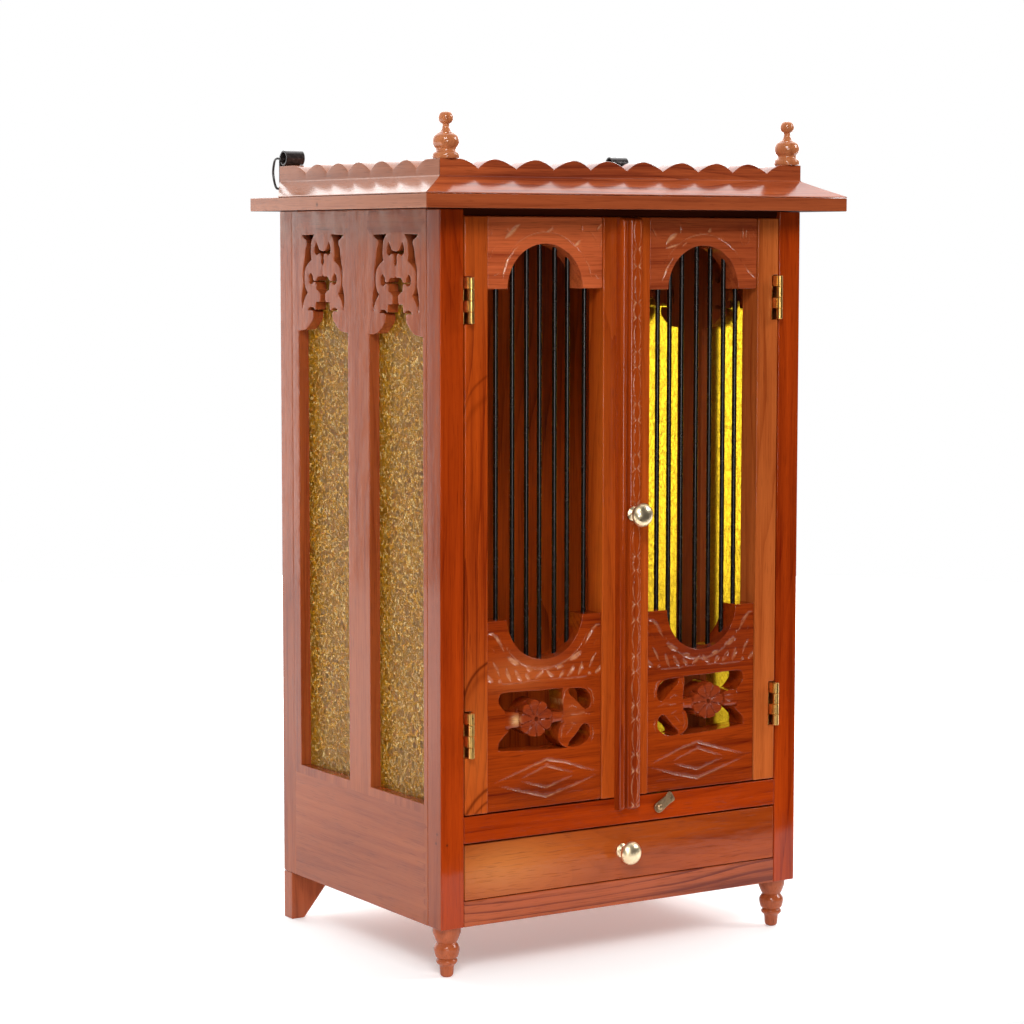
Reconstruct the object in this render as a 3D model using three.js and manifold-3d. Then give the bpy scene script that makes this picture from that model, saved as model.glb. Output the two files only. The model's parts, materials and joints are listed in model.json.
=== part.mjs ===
// Household altar cabinet: a small varnished hardwood shrine with two grilled doors,
// glazed and fretted sides, a drawer, a scalloped crown and turned feet and finials.
// Millimetres, +Z up, front towards -Y. Inside the group x runs from the left face of the
// body, y back from its front face and z up from the floor.

import * as THREE from 'three';
import { mergeVertices } from 'three/addons/utils/BufferGeometryUtils.js';
import Module from 'manifold-3d';

const wasm = await Module();
wasm.setup();

// Body
const WIDTH = 360;
const DEPTH = 271;
const BODY_BOTTOM = 42;
const BODY_TOP = 623.1;
const POST_X = 22;
const POST_Y = 20.5;
const WALL = 20;
const GAP = 0.3;

// Front, from the bottom up
const BOTTOM_RAIL_TOP = 63.3;
const DRAWER_BOTTOM = 63.9;
const DRAWER_TOP = 109.4;
const MIDDLE_RAIL_BOTTOM = 110.8;
const MIDDLE_RAIL_TOP = 132.8;
const DOOR_BOTTOM = 134;
const DOOR_TOP = 617.4;

// Boards inside the body and across its back
const DRAWER_BOARD_BOTTOM = 54.3;
const FLOOR_BOTTOM = 118.5;
const FLOOR_TOP = 130.5;
const BACK_PANEL = [261.7, 270.7];
const FOOT_BOARD_FRONT = 256.3;
const FOOT_TOE = 12.5;
const FOOT_CUTOUT = [51, 47];

// Doors
const DOOR_EDGE = 23.1;
const DOOR_MEETING = 179.6;
const DOOR_THICKNESS = 22;
const PANEL_LEFT = 44.8;
const PANEL_RIGHT = 156.6;
const PANEL_CENTRE = 100.7;
const PANEL_FRONT = 1;
const PANEL_BACK = 21.5;
const ARCH_RADIUS = 36.3;
const MEETING_BEVEL = 2.6;
const ROD_RADIUS = 2.05;
const ROD_Y = 11.2;
const ROD_DEPTH = 6;

// Hinges
const HINGE_X = 25.6;
const HINGE_Y = -5.5;
const HINGE_LENGTH = 37;
const HINGE_BOTTOMS = [181.5, 532];
const KNUCKLE_RADIUS = 2.65;
const LEAF_THICKNESS = 0.9;
const NOTCH_RIGHT = 29.4;

// Side windows: front and rear edge of each, measured back from the front face
const WINDOWS = [[27, 114.1], [150.6, 237.1]];
const WINDOW_BOTTOM = 141.6;
const FRET_BASE = 520.9;
const INNER_WINDOW_TOP = 607.6;
const FRET_DEPTH = 11;
const GLASS_SLOT = [9.3, 12.7];
const GLASS_SLOT_Y = [24, 239.7];
const GLASS_SLOT_BOTTOM = WINDOW_BOTTOM - 4;
const GLASS_TOP = 613;

// Eave and crown
const EAVE_SIDE = 28.7;
const EAVE_FRONT = 27.8;
const EAVE_BOTTOM = 623.4;
const EAVE_TOP = 634.7;
const BAND_BOTTOM = 649;
const VALLEY = 655.4;
const PEAK = 662.8;
const BAND_THICKNESS = 16.5;

const WOOD = { color: 0x9a4420, roughness: 0.3, metalness: 0 };
const PALE_WOOD = { color: 0xb06a3a, roughness: 0.45, metalness: 0 };
const GLASS = { color: 0xc49a3c, roughness: 0.25, metalness: 0 };
const BRASS = { color: 0xc8a052, roughness: 0.25, metalness: 1 };
const BLACK_METAL = { color: 0x1c1a1b, roughness: 0.45, metalness: 0.6 };

const cabinet = new THREE.Group();

function add(name, geometry, material) {
  geometry.computeVertexNormals();
  const mesh = new THREE.Mesh(geometry, new THREE.MeshStandardMaterial(material));
  mesh.name = name;
  cabinet.add(mesh);
}

// Closed meshes to solids and back

function toSolid(geometry) {
  geometry.deleteAttribute('normal');
  geometry.deleteAttribute('uv');
  const merged = mergeVertices(geometry, 1e-4);
  return new wasm.Manifold(new wasm.Mesh({
    numProp: 3,
    vertProperties: new Float32Array(merged.attributes.position.array),
    triVerts: new Uint32Array(merged.index.array),
  }));
}

function toGeometry(solid) {
  const mesh = solid.getMesh();
  const geometry = new THREE.BufferGeometry();
  geometry.setAttribute('position', new THREE.BufferAttribute(mesh.vertProperties, 3));
  geometry.setIndex(new THREE.BufferAttribute(mesh.triVerts, 1));
  return geometry;
}

function cut(geometry, ...tools) {
  let solid = toSolid(geometry);
  for (const tool of tools) solid = solid.subtract(toSolid(tool));
  return toGeometry(solid);
}

function join(geometry, ...others) {
  let solid = toSolid(geometry);
  for (const other of others) solid = solid.add(toSolid(other));
  return toGeometry(solid);
}

// Basic shapes

function box(x0, x1, y0, y1, z0, z1) {
  const geometry = new THREE.BoxGeometry(Math.abs(x1 - x0), Math.abs(y1 - y0), Math.abs(z1 - z0));
  return geometry.translate((x0 + x1) / 2, (y0 + y1) / 2, (z0 + z1) / 2);
}

function shapeOf(points) {
  return new THREE.Shape(points.map(([a, b]) => new THREE.Vector2(a, b)));
}

// An outline in x and z, extruded from y0 to y1
function frontPlate(points, y0, y1) {
  const geometry = new THREE.ExtrudeGeometry(shapeOf(points), { depth: y1 - y0, bevelEnabled: false });
  return geometry.rotateX(Math.PI / 2).translate(0, y1, 0);
}

// An outline in y and z, extruded from x0 to x1
function sidePlate(points, x0, x1) {
  const geometry = new THREE.ExtrudeGeometry(shapeOf(points), { depth: x1 - x0, bevelEnabled: false });
  const turn = new THREE.Matrix4().makeBasis(
    new THREE.Vector3(0, 1, 0),
    new THREE.Vector3(0, 0, 1),
    new THREE.Vector3(1, 0, 0),
  );
  return geometry.applyMatrix4(turn).translate(x0, 0, 0);
}

// An outline in x and y, extruded from z0 to z1
function topPlate(points, z0, z1) {
  const geometry = new THREE.ExtrudeGeometry(shapeOf(points), { depth: z1 - z0, bevelEnabled: false });
  return geometry.translate(0, 0, z0);
}

function upright(x, y, z0, z1, radius, sides) {
  const geometry = new THREE.CylinderGeometry(radius, radius, z1 - z0, sides);
  return geometry.rotateX(Math.PI / 2).translate(x, y, (z0 + z1) / 2);
}

// A turned piece standing on its axis; the profile is radius and height
function turned(profile, sides) {
  const geometry = new THREE.LatheGeometry(profile.map(([r, z]) => new THREE.Vector2(r, z)), sides);
  return geometry.rotateX(Math.PI / 2);
}

// A turned piece whose axis points forward, towards -Y
function turnedForward(profile, sides) {
  const geometry = new THREE.LatheGeometry(profile.map(([r, z]) => new THREE.Vector2(r, z)), sides);
  return geometry.rotateX(Math.PI);
}

function arc(cx, cz, radius, from, to, steps) {
  const points = [];
  for (let i = 0; i <= steps; i += 1) {
    const angle = from + ((to - from) * i) / steps;
    points.push([cx + radius * Math.cos(angle), cz + radius * Math.sin(angle)]);
  }
  return points;
}

// The right half of an outline, from its top to its bottom, completed by its mirror image
function symmetric(half, centre, base) {
  const right = half.map(([d, h]) => [centre + d, base + h]);
  const left = half.filter(([d]) => d > 0).map(([d, h]) => [centre - d, base + h]).reverse();
  return [...right, ...left];
}

// Left and right pieces share their numbers, with x mirrored on the right. The two doors were
// made by hand and differ a little in the rods' places and the cut of the boards.
const SIDES = [
  {
    name: 'left',
    mx: (x) => x,
    rods: [59, 74.8, 88.6, 101.2, 115.9, 128.4, 145],
    archSpring: 559.3,
    bowl: { radius: 36.7, height: 293 },
    hornTop: 290.8,
    finialX: 10.7,
  },
  {
    name: 'right',
    mx: (x) => WIDTH - x,
    rods: [60.5, 72.9, 87, 101.1, 116.4, 128.9, 141],
    archSpring: 557.9,
    bowl: { radius: 35.7, height: 288.5 },
    hornTop: 288.4,
    finialX: 8.6,
  },
];

function span(side, a, b) {
  const ends = [side.mx(a), side.mx(b)];
  return [Math.min(...ends), Math.max(...ends)];
}

function mirrored(side, points) {
  return points.map(([x, z]) => [side.mx(x), z]);
}

// Fretwork above each side window, as distance from the window's centre and height over FRET_BASE
const FRET_SLOT = [
  [36, 82], [15, 82.6], [19.2, 78], [20.6, 72.7], [21, 65], [20, 61], [26.4, 57.7], [30.8, 53.8],
  [32.6, 47], [32.2, 40.5], [29.8, 35.8], [27.2, 33.1], [31.6, 28.7], [34.4, 24.7], [36, 19.2],
  [37.4, 24.5], [37.2, 30], [35.8, 36], [34.1, 41], [34.5, 48], [34.2, 54], [32.2, 60], [31, 65],
  [30, 70.5], [27.6, 75], [28.4, 78], [32, 79.3],
];
const FRET_CRESCENT = [
  [0, 68.4], [5.6, 69.6], [8, 72.6], [11, 76.2], [13.8, 71.5], [13.4, 67], [10, 65], [7.6, 66.3],
  [3.2, 66.8], [1.8, 62.7], [2.2, 59.3], [0, 56.4],
];
const FRET_OPENING = [
  [0, 49.1], [1.6, 47.1], [7, 47], [9.6, 46], [12.2, 43.4], [17, 43.4], [17.8, 47], [20.6, 50],
  [23.5, 48.4], [24.5, 45], [23.7, 41.6], [20.6, 40.3], [17.8, 41], [16.8, 42.3], [12.6, 42.3],
  [11.6, 40], [10.8, 36], [6.8, 34.6], [4, 32.2], [4.3, 27.5], [5.8, 25.4], [11.6, 25.4],
  [12.5, 18.8], [14.6, 18.8], [16.2, 20.1], [20.4, 21], [24.6, 20], [26.2, 18], [18.2, 17.9],
  [16.6, 16.6], [17, 11.5], [21, 7.6], [25.6, 4.2], [31, 1.4],
];

function sideWall(side) {
  const wall = box(...span(side, 0, WALL), POST_Y + GAP, DEPTH, BODY_BOTTOM, BODY_TOP);
  const tools = [box(...span(side, ...GLASS_SLOT), ...GLASS_SLOT_Y, GLASS_SLOT_BOTTOM, BODY_TOP + 1)];
  for (const [y0, y1] of WINDOWS) {
    const centre = (y0 + y1) / 2;
    const corner = (y1 - y0) / 2;
    const sill = WINDOW_BOTTOM - FRET_BASE;
    const openings = [
      FRET_SLOT.map(([d, h]) => [centre + d, FRET_BASE + h]),
      FRET_SLOT.map(([d, h]) => [centre - d, FRET_BASE + h]),
      symmetric(FRET_CRESCENT, centre, FRET_BASE),
      symmetric([...FRET_OPENING, [corner, 0], [corner, sill]], centre, FRET_BASE),
    ];
    tools.push(...openings.map((points) => sidePlate(points, ...span(side, -1, FRET_DEPTH))));
    tools.push(box(...span(side, FRET_DEPTH, WALL + 1), y0, y1, WINDOW_BOTTOM, INNER_WINDOW_TOP));
  }
  return cut(wall, ...tools);
}

function glassPane(side) {
  const faces = span(side, GLASS_SLOT[0] + GAP, GLASS_SLOT[1] - GAP);
  const [front, rear] = GLASS_SLOT_Y;
  return box(...faces, front + GAP, rear - GAP, GLASS_SLOT_BOTTOM + GAP, GLASS_TOP);
}

for (const side of SIDES) {
  add(`post_${side.name}`, box(...span(side, 0, POST_X), 0, POST_Y, BODY_BOTTOM, BODY_TOP), WOOD);
  add(`side_wall_${side.name}`, sideWall(side), WOOD);
  add(`glass_${side.name}`, glassPane(side), GLASS);
}

// Rails and boards between the sides
const RAIL_ENDS = [POST_X + GAP, WIDTH - POST_X - GAP];
const BOARD_ENDS = [WALL + GAP, WIDTH - WALL - GAP];
const BOARD_FRONT = POST_Y + GAP;
add('bottom_rail', box(...RAIL_ENDS, 0, POST_Y, BODY_BOTTOM, BOTTOM_RAIL_TOP), WOOD);
add('middle_rail', box(...RAIL_ENDS, 0, POST_Y, MIDDLE_RAIL_BOTTOM, MIDDLE_RAIL_TOP), WOOD);

const drawerBoard = box(
  ...BOARD_ENDS, BOARD_FRONT, FOOT_BOARD_FRONT - GAP, DRAWER_BOARD_BOTTOM, BOTTOM_RAIL_TOP,
);
add('drawer_board', drawerBoard, PALE_WOOD);
const floorBoard = box(...BOARD_ENDS, BOARD_FRONT, BACK_PANEL[0] - GAP, FLOOR_BOTTOM, FLOOR_TOP);
add('floor_board', floorBoard, WOOD);
add('back_panel', box(...BOARD_ENDS, ...BACK_PANEL, BOTTOM_RAIL_TOP + 0.4, BODY_TOP), WOOD);

// Rear feet: one board across the back with a slanted cut-out
const FOOT_TOP = BODY_BOTTOM - GAP;
const [cutoutX, cutoutZ] = FOOT_CUTOUT;
const footOutline = [
  [0, 0], [FOOT_TOE, 0], [cutoutX, cutoutZ], [WIDTH - cutoutX, cutoutZ], [WIDTH - FOOT_TOE, 0], [WIDTH, 0],
  [WIDTH, FOOT_TOP], [BOARD_ENDS[1], FOOT_TOP], [BOARD_ENDS[1], BOTTOM_RAIL_TOP],
  [BOARD_ENDS[0], BOTTOM_RAIL_TOP], [BOARD_ENDS[0], FOOT_TOP], [0, FOOT_TOP],
];
add('rear_foot_board', frontPlate(footOutline, FOOT_BOARD_FRONT, DEPTH), WOOD);

// Turned front feet
const FOOT_CENTRE = 13.8;
const FOOT_PROFILE = [
  [0, 0], [3.4, 0], [5.4, 2], [6.2, 9], [8.6, 12], [8.7, 14], [7.7, 15.4], [9.4, 17.2], [10.7, 22.5],
  [10.2, 25.5], [8.1, 28.6], [9.6, 31.5], [11.7, 37.5], [11.7, FOOT_TOP], [0, FOOT_TOP],
];
for (const side of SIDES) {
  const foot = turned(FOOT_PROFILE, 16).translate(side.mx(FOOT_CENTRE), FOOT_CENTRE, 0);
  add(`front_foot_${side.name}`, foot, WOOD);
}

// Eave board, with the strip under it that closes the gap over the doors
const eaveOutline = [
  [-EAVE_SIDE, -EAVE_FRONT], [WIDTH + EAVE_SIDE, -EAVE_FRONT],
  [WIDTH + EAVE_SIDE, DEPTH], [-EAVE_SIDE, DEPTH],
];
const eaveStrip = box(POST_X + GAP, WIDTH - POST_X - GAP, 3, POST_Y, DOOR_TOP + 0.8, EAVE_BOTTOM + 0.5);
add('eave_board', join(topPlate(eaveOutline, EAVE_BOTTOM, EAVE_TOP), eaveStrip), WOOD);

// Crown: a sloping skirt on the eave that rises into an upright scalloped band
const CROWN_BASE = EAVE_TOP + GAP;
const crownSection = [
  [-1, CROWN_BASE], [-1, CROWN_BASE + 0.8], [0, BAND_BOTTOM], [0, PEAK], [BAND_THICKNESS, PEAK],
  [BAND_THICKNESS, CROWN_BASE],
];

// What is cut away above a run of scallops, from the first valley to the last
function scallopOutline(valleys, start, end) {
  const points = [];
  const edges = [start, ...valleys, end];
  for (let i = 0; i + 1 < edges.length; i += 1) {
    const [a, b] = [edges[i], edges[i + 1]];
    const first = i === 0;
    const last = i + 2 === edges.length;
    const steps = 8;
    for (let k = 0; k < steps; k += 1) {
      const t = k / steps;
      let lift = Math.sin(Math.PI * t);
      if (first && t < 0.5) lift = 1;
      if (last && t > 0.35) lift = 1;
      points.push([a + (b - a) * t, VALLEY + (PEAK - VALLEY) * lift]);
    }
  }
  points.push([end, PEAK]);
  return [...points, [end, PEAK + 5], [start, PEAK + 5]];
}

const FRONT_PITCH = WIDTH / 10;
const frontValleys = Array.from({ length: 9 }, (_, i) => FRONT_PITCH * (i + 1));
const SIDE_PITCH = 37.2;
const sideValleys = Array.from({ length: 6 }, (_, i) => 37 + SIDE_PITCH * i);

function crownFront() {
  const profile = crownSection.map(([a, z]) => [a < 0 ? a * EAVE_FRONT : a, z]);
  const run = sidePlate(profile, -EAVE_SIDE, WIDTH + EAVE_SIDE);
  const scallops = frontPlate(scallopOutline(frontValleys, 0, WIDTH), -1, BAND_THICKNESS + 1);
  const far = 60;
  const mitres = SIDES.map((side) => topPlate([
    [side.mx(far), far],
    [side.mx(GAP / 2), 0],
    [side.mx(-EAVE_SIDE + GAP / 2), -EAVE_FRONT],
    [side.mx(-far), -EAVE_FRONT],
    [side.mx(-far), far],
  ], CROWN_BASE - 1, PEAK + 1));
  return cut(run, scallops, ...mitres);
}

function crownSide(side) {
  const profile = mirrored(side, crownSection.map(([a, z]) => [a < 0 ? a * EAVE_SIDE : a, z]));
  const run = frontPlate(profile, -EAVE_FRONT, DEPTH - GAP);
  const outline = scallopOutline(sideValleys, 0, DEPTH);
  const scallops = sidePlate(outline, ...span(side, -1, BAND_THICKNESS + 1));
  const far = 60;
  const mitre = topPlate([
    [side.mx(far), far + GAP],
    [side.mx(0), GAP],
    [side.mx(-EAVE_SIDE), -EAVE_FRONT + GAP],
    [side.mx(-EAVE_SIDE), -far],
    [side.mx(far), -far],
  ], CROWN_BASE - 1, PEAK + 1);
  const rearCut = topPlate([
    [side.mx(-0.5), DEPTH - 1],
    [side.mx(-EAVE_SIDE - 1), DEPTH - 52],
    [side.mx(-EAVE_SIDE - 1), DEPTH + 1],
    [side.mx(-0.5), DEPTH + 1],
  ], CROWN_BASE - 1, PEAK + 1);
  return cut(run, scallops, mitre, rearCut);
}

add('crown_front', crownFront(), WOOD);
for (const side of SIDES) add(`crown_${side.name}`, crownSide(side), WOOD);

// Finials on the front corners of the crown
const FINIAL_BASE = PEAK + GAP;
const FINIAL_PROFILE = [
  [0, 0], [10.2, 0], [11.3, 1.6], [11, 4], [8.4, 6], [8.2, 7.2], [10.2, 9.2], [11, 12.6], [10.2, 16],
  [8.9, 18.6], [7.6, 19.6], [4.4, 21.8], [3.8, 26], [5.2, 27.6], [6.2, 31], [5.1, 35], [2.6, 36.6], [0, 37],
];
for (const side of SIDES) {
  const finial = turned(FINIAL_PROFILE, 16).translate(side.mx(side.finialX), 8.4, FINIAL_BASE);
  add(`finial_${side.name}`, finial, WOOD);
}

// Doors

const HOLE_RADIUS = ROD_RADIUS + 0.3;

function archHeight(side, x) {
  const d = Math.min(Math.abs(x - PANEL_CENTRE), ARCH_RADIUS);
  return side.archSpring + Math.sqrt(ARCH_RADIUS ** 2 - d ** 2);
}

function bowlHeight(side, x) {
  const { radius, height } = side.bowl;
  const d = Math.abs(x - PANEL_CENTRE);
  return d < radius ? Math.min(height - Math.sqrt(radius ** 2 - d ** 2), side.hornTop) : side.hornTop;
}

function archBoard(side) {
  const [left, right] = [PANEL_LEFT + GAP, PANEL_RIGHT - GAP];
  const outline = [
    [left, DOOR_TOP], [left, side.archSpring],
    ...arc(PANEL_CENTRE, side.archSpring, ARCH_RADIUS, Math.PI, 0, 24),
    [right, side.archSpring], [right, DOOR_TOP],
  ];
  const board = frontPlate(mirrored(side, outline), PANEL_FRONT, PANEL_BACK);
  const holes = side.rods.map((x) => (
    upright(side.mx(x), ROD_Y, side.archSpring - 5, archHeight(side, x) + ROD_DEPTH + 1, HOLE_RADIUS, 8)
  ));
  return cut(board, ...holes);
}

// The pierced window in the lower board: distance from the panel's centre, height over the door's bottom
const FLOWER_WINDOW = [
  [-44.7, 91], [-43, 96.3], [-38, 97.3], [-5, 97], [37.5, 95], [43.5, 91], [45.5, 85.3], [44.6, 79.5],
  [40.6, 76.1], [37, 71], [40.6, 65.1], [43.6, 63.2], [44.7, 58], [43.5, 53], [38, 48.5], [30, 46.8],
  [-14.6, 47.7], [-44.6, 50.1], [-45.1, 53.5], [-43.7, 57.5], [-37.9, 62.7], [-35, 65.7], [-34, 71],
  [-34.5, 77], [-37.9, 81.7],
];
const FLOWER_CENTRE = [-8.3, 73.3];
const BUD = [[-36, 68], [-29, 66.6], [-20, 68.5], [-20, 79.5], [-30, 80.6], [-36, 78]];
const STEM = [[4, 68.7], [16.7, 69], [20, 66], [39, 67.5], [39, 75], [20, 77.5], [7.8, 77.7], [4, 78]];
const UPPER_LEAF = [
  [18, 75], [17.2, 92.7], [17.7, 98], [24, 98], [24.6, 91.2], [29.6, 87.1], [36.6, 80.2], [41, 75],
];
const LOWER_LEAF = [
  [16.7, 70], [14.8, 64.5], [13.3, 58], [13.8, 52.9], [17.8, 48.4], [19, 45], [23.2, 45],
  [24.7, 51.5], [29.7, 56.1], [34.6, 61.5], [41, 67],
];
const PETALS = 8;
const EYE_RADIUS = 1.5;

function flowerOutline() {
  const points = [];
  const steps = PETALS * 4;
  for (let i = 0; i < steps; i += 1) {
    const angle = (2 * Math.PI * i) / steps;
    const radius = 14.2 + 2 * Math.abs(Math.cos((PETALS / 2) * angle));
    points.push([FLOWER_CENTRE[0] + radius * Math.cos(angle), FLOWER_CENTRE[1] + radius * Math.sin(angle)]);
  }
  return points;
}

function lowerBoard(side) {
  const place = (points) => mirrored(side, points.map(([d, h]) => [PANEL_CENTRE + d, DOOR_BOTTOM + h]));
  const { radius, height } = side.bowl;
  const [left, right] = [PANEL_LEFT + GAP, PANEL_RIGHT - GAP];
  const lip = Math.asin((height - side.hornTop) / radius);
  const outline = [
    [left, DOOR_BOTTOM], [left, side.hornTop],
    ...arc(PANEL_CENTRE, height, radius, Math.PI + lip, 2 * Math.PI - lip, 24),
    [right, side.hornTop], [right, DOOR_BOTTOM],
  ];
  const board = frontPlate(mirrored(side, outline), PANEL_FRONT, PANEL_BACK);
  const pierced = cut(board, frontPlate(place(FLOWER_WINDOW), PANEL_FRONT - 1, PANEL_BACK + 1));
  const relief = [BUD, STEM, UPPER_LEAF, LOWER_LEAF, flowerOutline()].map((points) => (
    frontPlate(place(points), PANEL_FRONT + 0.8, PANEL_BACK - 0.5)
  ));
  const carved = join(pierced, ...relief);
  const [[eyeX, eyeZ]] = place([FLOWER_CENTRE]);
  const eye = new THREE.CylinderGeometry(EYE_RADIUS, EYE_RADIUS, 8, 8).translate(eyeX, PANEL_FRONT, eyeZ);
  const holes = side.rods.map((x) => (
    upright(side.mx(x), ROD_Y, bowlHeight(side, x) - ROD_DEPTH - 1, side.hornTop + 5, HOLE_RADIUS, 8)
  ));
  return cut(carved, eye, ...holes);
}

function notches(side) {
  return HINGE_BOTTOMS.map((z) => (
    box(...span(side, DOOR_EDGE - 1, NOTCH_RIGHT), -1, 17, z - 0.5, z + HINGE_LENGTH + 0.5)
  ));
}

const rodNames = ['a', 'b', 'c', 'd', 'e', 'f', 'g'];

function door(side) {
  const outer = box(...span(side, DOOR_EDGE, PANEL_LEFT), 0, DOOR_THICKNESS, DOOR_BOTTOM, DOOR_TOP);
  add(`${side.name}_door_outer_stile`, cut(outer, ...notches(side)), WOOD);
  const innerSection = [
    [PANEL_RIGHT, 0], [DOOR_MEETING, 0], [DOOR_MEETING, 5],
    [DOOR_MEETING - MEETING_BEVEL, DOOR_THICKNESS], [PANEL_RIGHT, DOOR_THICKNESS],
  ];
  const inner = topPlate(mirrored(side, innerSection), DOOR_BOTTOM, DOOR_TOP);
  add(`${side.name}_door_inner_stile`, inner, WOOD);
  add(`${side.name}_door_arch_board`, archBoard(side), WOOD);
  add(`${side.name}_door_lower_board`, lowerBoard(side), WOOD);
  side.rods.forEach((x, i) => {
    const ends = [bowlHeight(side, x) - ROD_DEPTH, archHeight(side, x) + ROD_DEPTH];
    const rod = upright(side.mx(x), ROD_Y, ...ends, ROD_RADIUS, 8);
    add(`${side.name}_door_rod_${rodNames[i]}`, rod, BLACK_METAL);
  });
}

for (const side of SIDES) door(side);

// Butt hinges: four knuckles each, held in turn by the fixed leaf and the door's leaf
const KNUCKLES = 4;
const KNUCKLE_PITCH = HINGE_LENGTH / KNUCKLES;
const PIN_RADIUS = 1;

function hingeLeaf(side, z, moving, owned) {
  const bore = upright(side.mx(HINGE_X), HINGE_Y, z - 1, z + HINGE_LENGTH + 1, PIN_RADIUS + 0.4, 6);
  const middle = [HINGE_X - KNUCKLE_RADIUS - 0.6, HINGE_X + KNUCKLE_RADIUS - 0.2];
  const inner = moving ? middle[1] : middle[0];
  const plateX = span(side, inner, inner + LEAF_THICKNESS);
  const pieces = [box(...plateX, 1, 15.5, z, z + HINGE_LENGTH)];
  for (const k of owned) {
    const low = z + k * KNUCKLE_PITCH + GAP / 2;
    const high = low + KNUCKLE_PITCH - GAP;
    pieces.push(box(...plateX, HINGE_Y, 2, low, high));
    pieces.push(upright(side.mx(HINGE_X), HINGE_Y, low, high, KNUCKLE_RADIUS, 12));
  }
  const leaf = join(...pieces);
  if (moving) return cut(leaf, bore);
  const pin = upright(side.mx(HINGE_X), HINGE_Y, z, z + HINGE_LENGTH, PIN_RADIUS, 6);
  return join(leaf, pin);
}

const levels = ['lower', 'upper'];
for (const side of SIDES) {
  const fixed = side.name === 'left' ? [1, 3] : [0, 2];
  const moving = side.name === 'left' ? [0, 2] : [1, 3];
  HINGE_BOTTOMS.forEach((z, i) => {
    add(`${side.name}_${levels[i]}_hinge_post_leaf`, hingeLeaf(side, z, false, fixed), BRASS);
    add(`${side.name}_${levels[i]}_hinge_door_leaf`, hingeLeaf(side, z, true, moving), BRASS);
  });
}

// Cover strip on the right door, over the line where the doors meet
const STRIP_CENTRE = 179.8;
const stripSection = [
  [-10.6, -GAP], [-10.6, -6.6], [-9.4, -8.8], [-7.6, -9.4], [-6, -8.4], [-5.4, -5.4], [-3.2, -5.4],
  [-2.6, -8.2], [0, -9.8], [6, -10], [9.4, -8.8], [10.6, -6], [10.6, -GAP],
];
const STRIP_BOTTOM = 123.6;
const STRIP_TOP = 617;
const strip = topPlate(stripSection.map(([x, y]) => [STRIP_CENTRE + x, y]), STRIP_BOTTOM, STRIP_TOP);
add('right_door_cover_strip', strip, WOOD);

// Brass knobs
const KNOB_PROFILE = [
  [0, 0], [5.8, 0], [5.8, 1.2], [3.4, 3], [2.9, 6.5], [4.2, 9.5], [8.8, 11.6], [9.9, 13.2], [9.4, 15.4],
  [7, 18], [3.6, 19.4], [0, 19.8],
];
const DOOR_KNOB_HEIGHT = 373.1;
const doorKnob = turnedForward(KNOB_PROFILE, 18).translate(WIDTH / 2, -10.3, DOOR_KNOB_HEIGHT);
add('right_door_knob', doorKnob, BRASS);

// Drawer
const DRAWER_EDGE = DOOR_EDGE - 0.2;
const DRAWER_FRONT_THICKNESS = 12;
const TRAY_EDGE = 25;
const TRAY_FRONT = DRAWER_FRONT_THICKNESS + GAP;
const TRAY_REAR = 240;
const TRAY_TOP = 101;
const TRAY_WALL = 8;
const TRAY_FLOOR = 68;
const DRAWER_KNOB = [177, 88.4];
const drawerFront = box(
  DRAWER_EDGE, WIDTH - DRAWER_EDGE, 0, DRAWER_FRONT_THICKNESS, DRAWER_BOTTOM, DRAWER_TOP,
);
add('drawer_front', drawerFront, PALE_WOOD);
const trayOutside = box(TRAY_EDGE, WIDTH - TRAY_EDGE, TRAY_FRONT, TRAY_REAR, BOTTOM_RAIL_TOP + 0.5, TRAY_TOP);
const trayInside = box(
  TRAY_EDGE + TRAY_WALL, WIDTH - TRAY_EDGE - TRAY_WALL, TRAY_FRONT + TRAY_WALL, TRAY_REAR - TRAY_WALL,
  TRAY_FLOOR, TRAY_TOP + 9,
);
add('drawer_tray', cut(trayOutside, trayInside), PALE_WOOD);
const [drawerKnobX, drawerKnobZ] = DRAWER_KNOB;
add('drawer_knob', turnedForward(KNOB_PROFILE, 18).translate(drawerKnobX, -GAP, drawerKnobZ), BRASS);

// Turn button on the middle rail, turned just clear of the right door
const BUTTON_TURN = 0.99;
const BUTTON_PIVOT = [213, 121.9];
const buttonOutline = [
  ...arc(0, 0, 4.7, Math.PI, 2 * Math.PI, 8), [4.1, 9.5], [4.9, 14.6], [3.6, 16.4], [0, 16.8], [-3.6, 16.4],
  [-4.9, 14.6], [-4.1, 9.5],
];
const buttonPlate = frontPlate(buttonOutline, -4.2, -3);
const buttonCollar = new THREE.CylinderGeometry(3.2, 3.2, 3.2, 12).translate(0, -1.9, 0);
const screwProfile = [[0, 0], [3.1, 0], [2.9, 1.1], [1.8, 2], [0, 2.3]];
const buttonScrew = turnedForward(screwProfile, 14).translate(0, -4.1, 0);
const button = join(buttonPlate, buttonCollar, buttonScrew);
add('turn_button', button.rotateY(BUTTON_TURN).translate(BUTTON_PIVOT[0], 0, BUTTON_PIVOT[1]), BRASS);

// Hangers: a strap rolled into a barrel on each rear corner, with a wire bail through it
const BARREL_Y = 264.3;
const BARREL_Z = PEAK + 6.8;
const BARREL_RADIUS = 6.5;
const BARREL_BORE = 5.1;
const STRAP_ENDS = [2, 16];
const STRAP_THICKNESS = 1.4;
const STRAP_LENGTH = 22;
const WIRE_RADIUS = 1.1;

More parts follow.
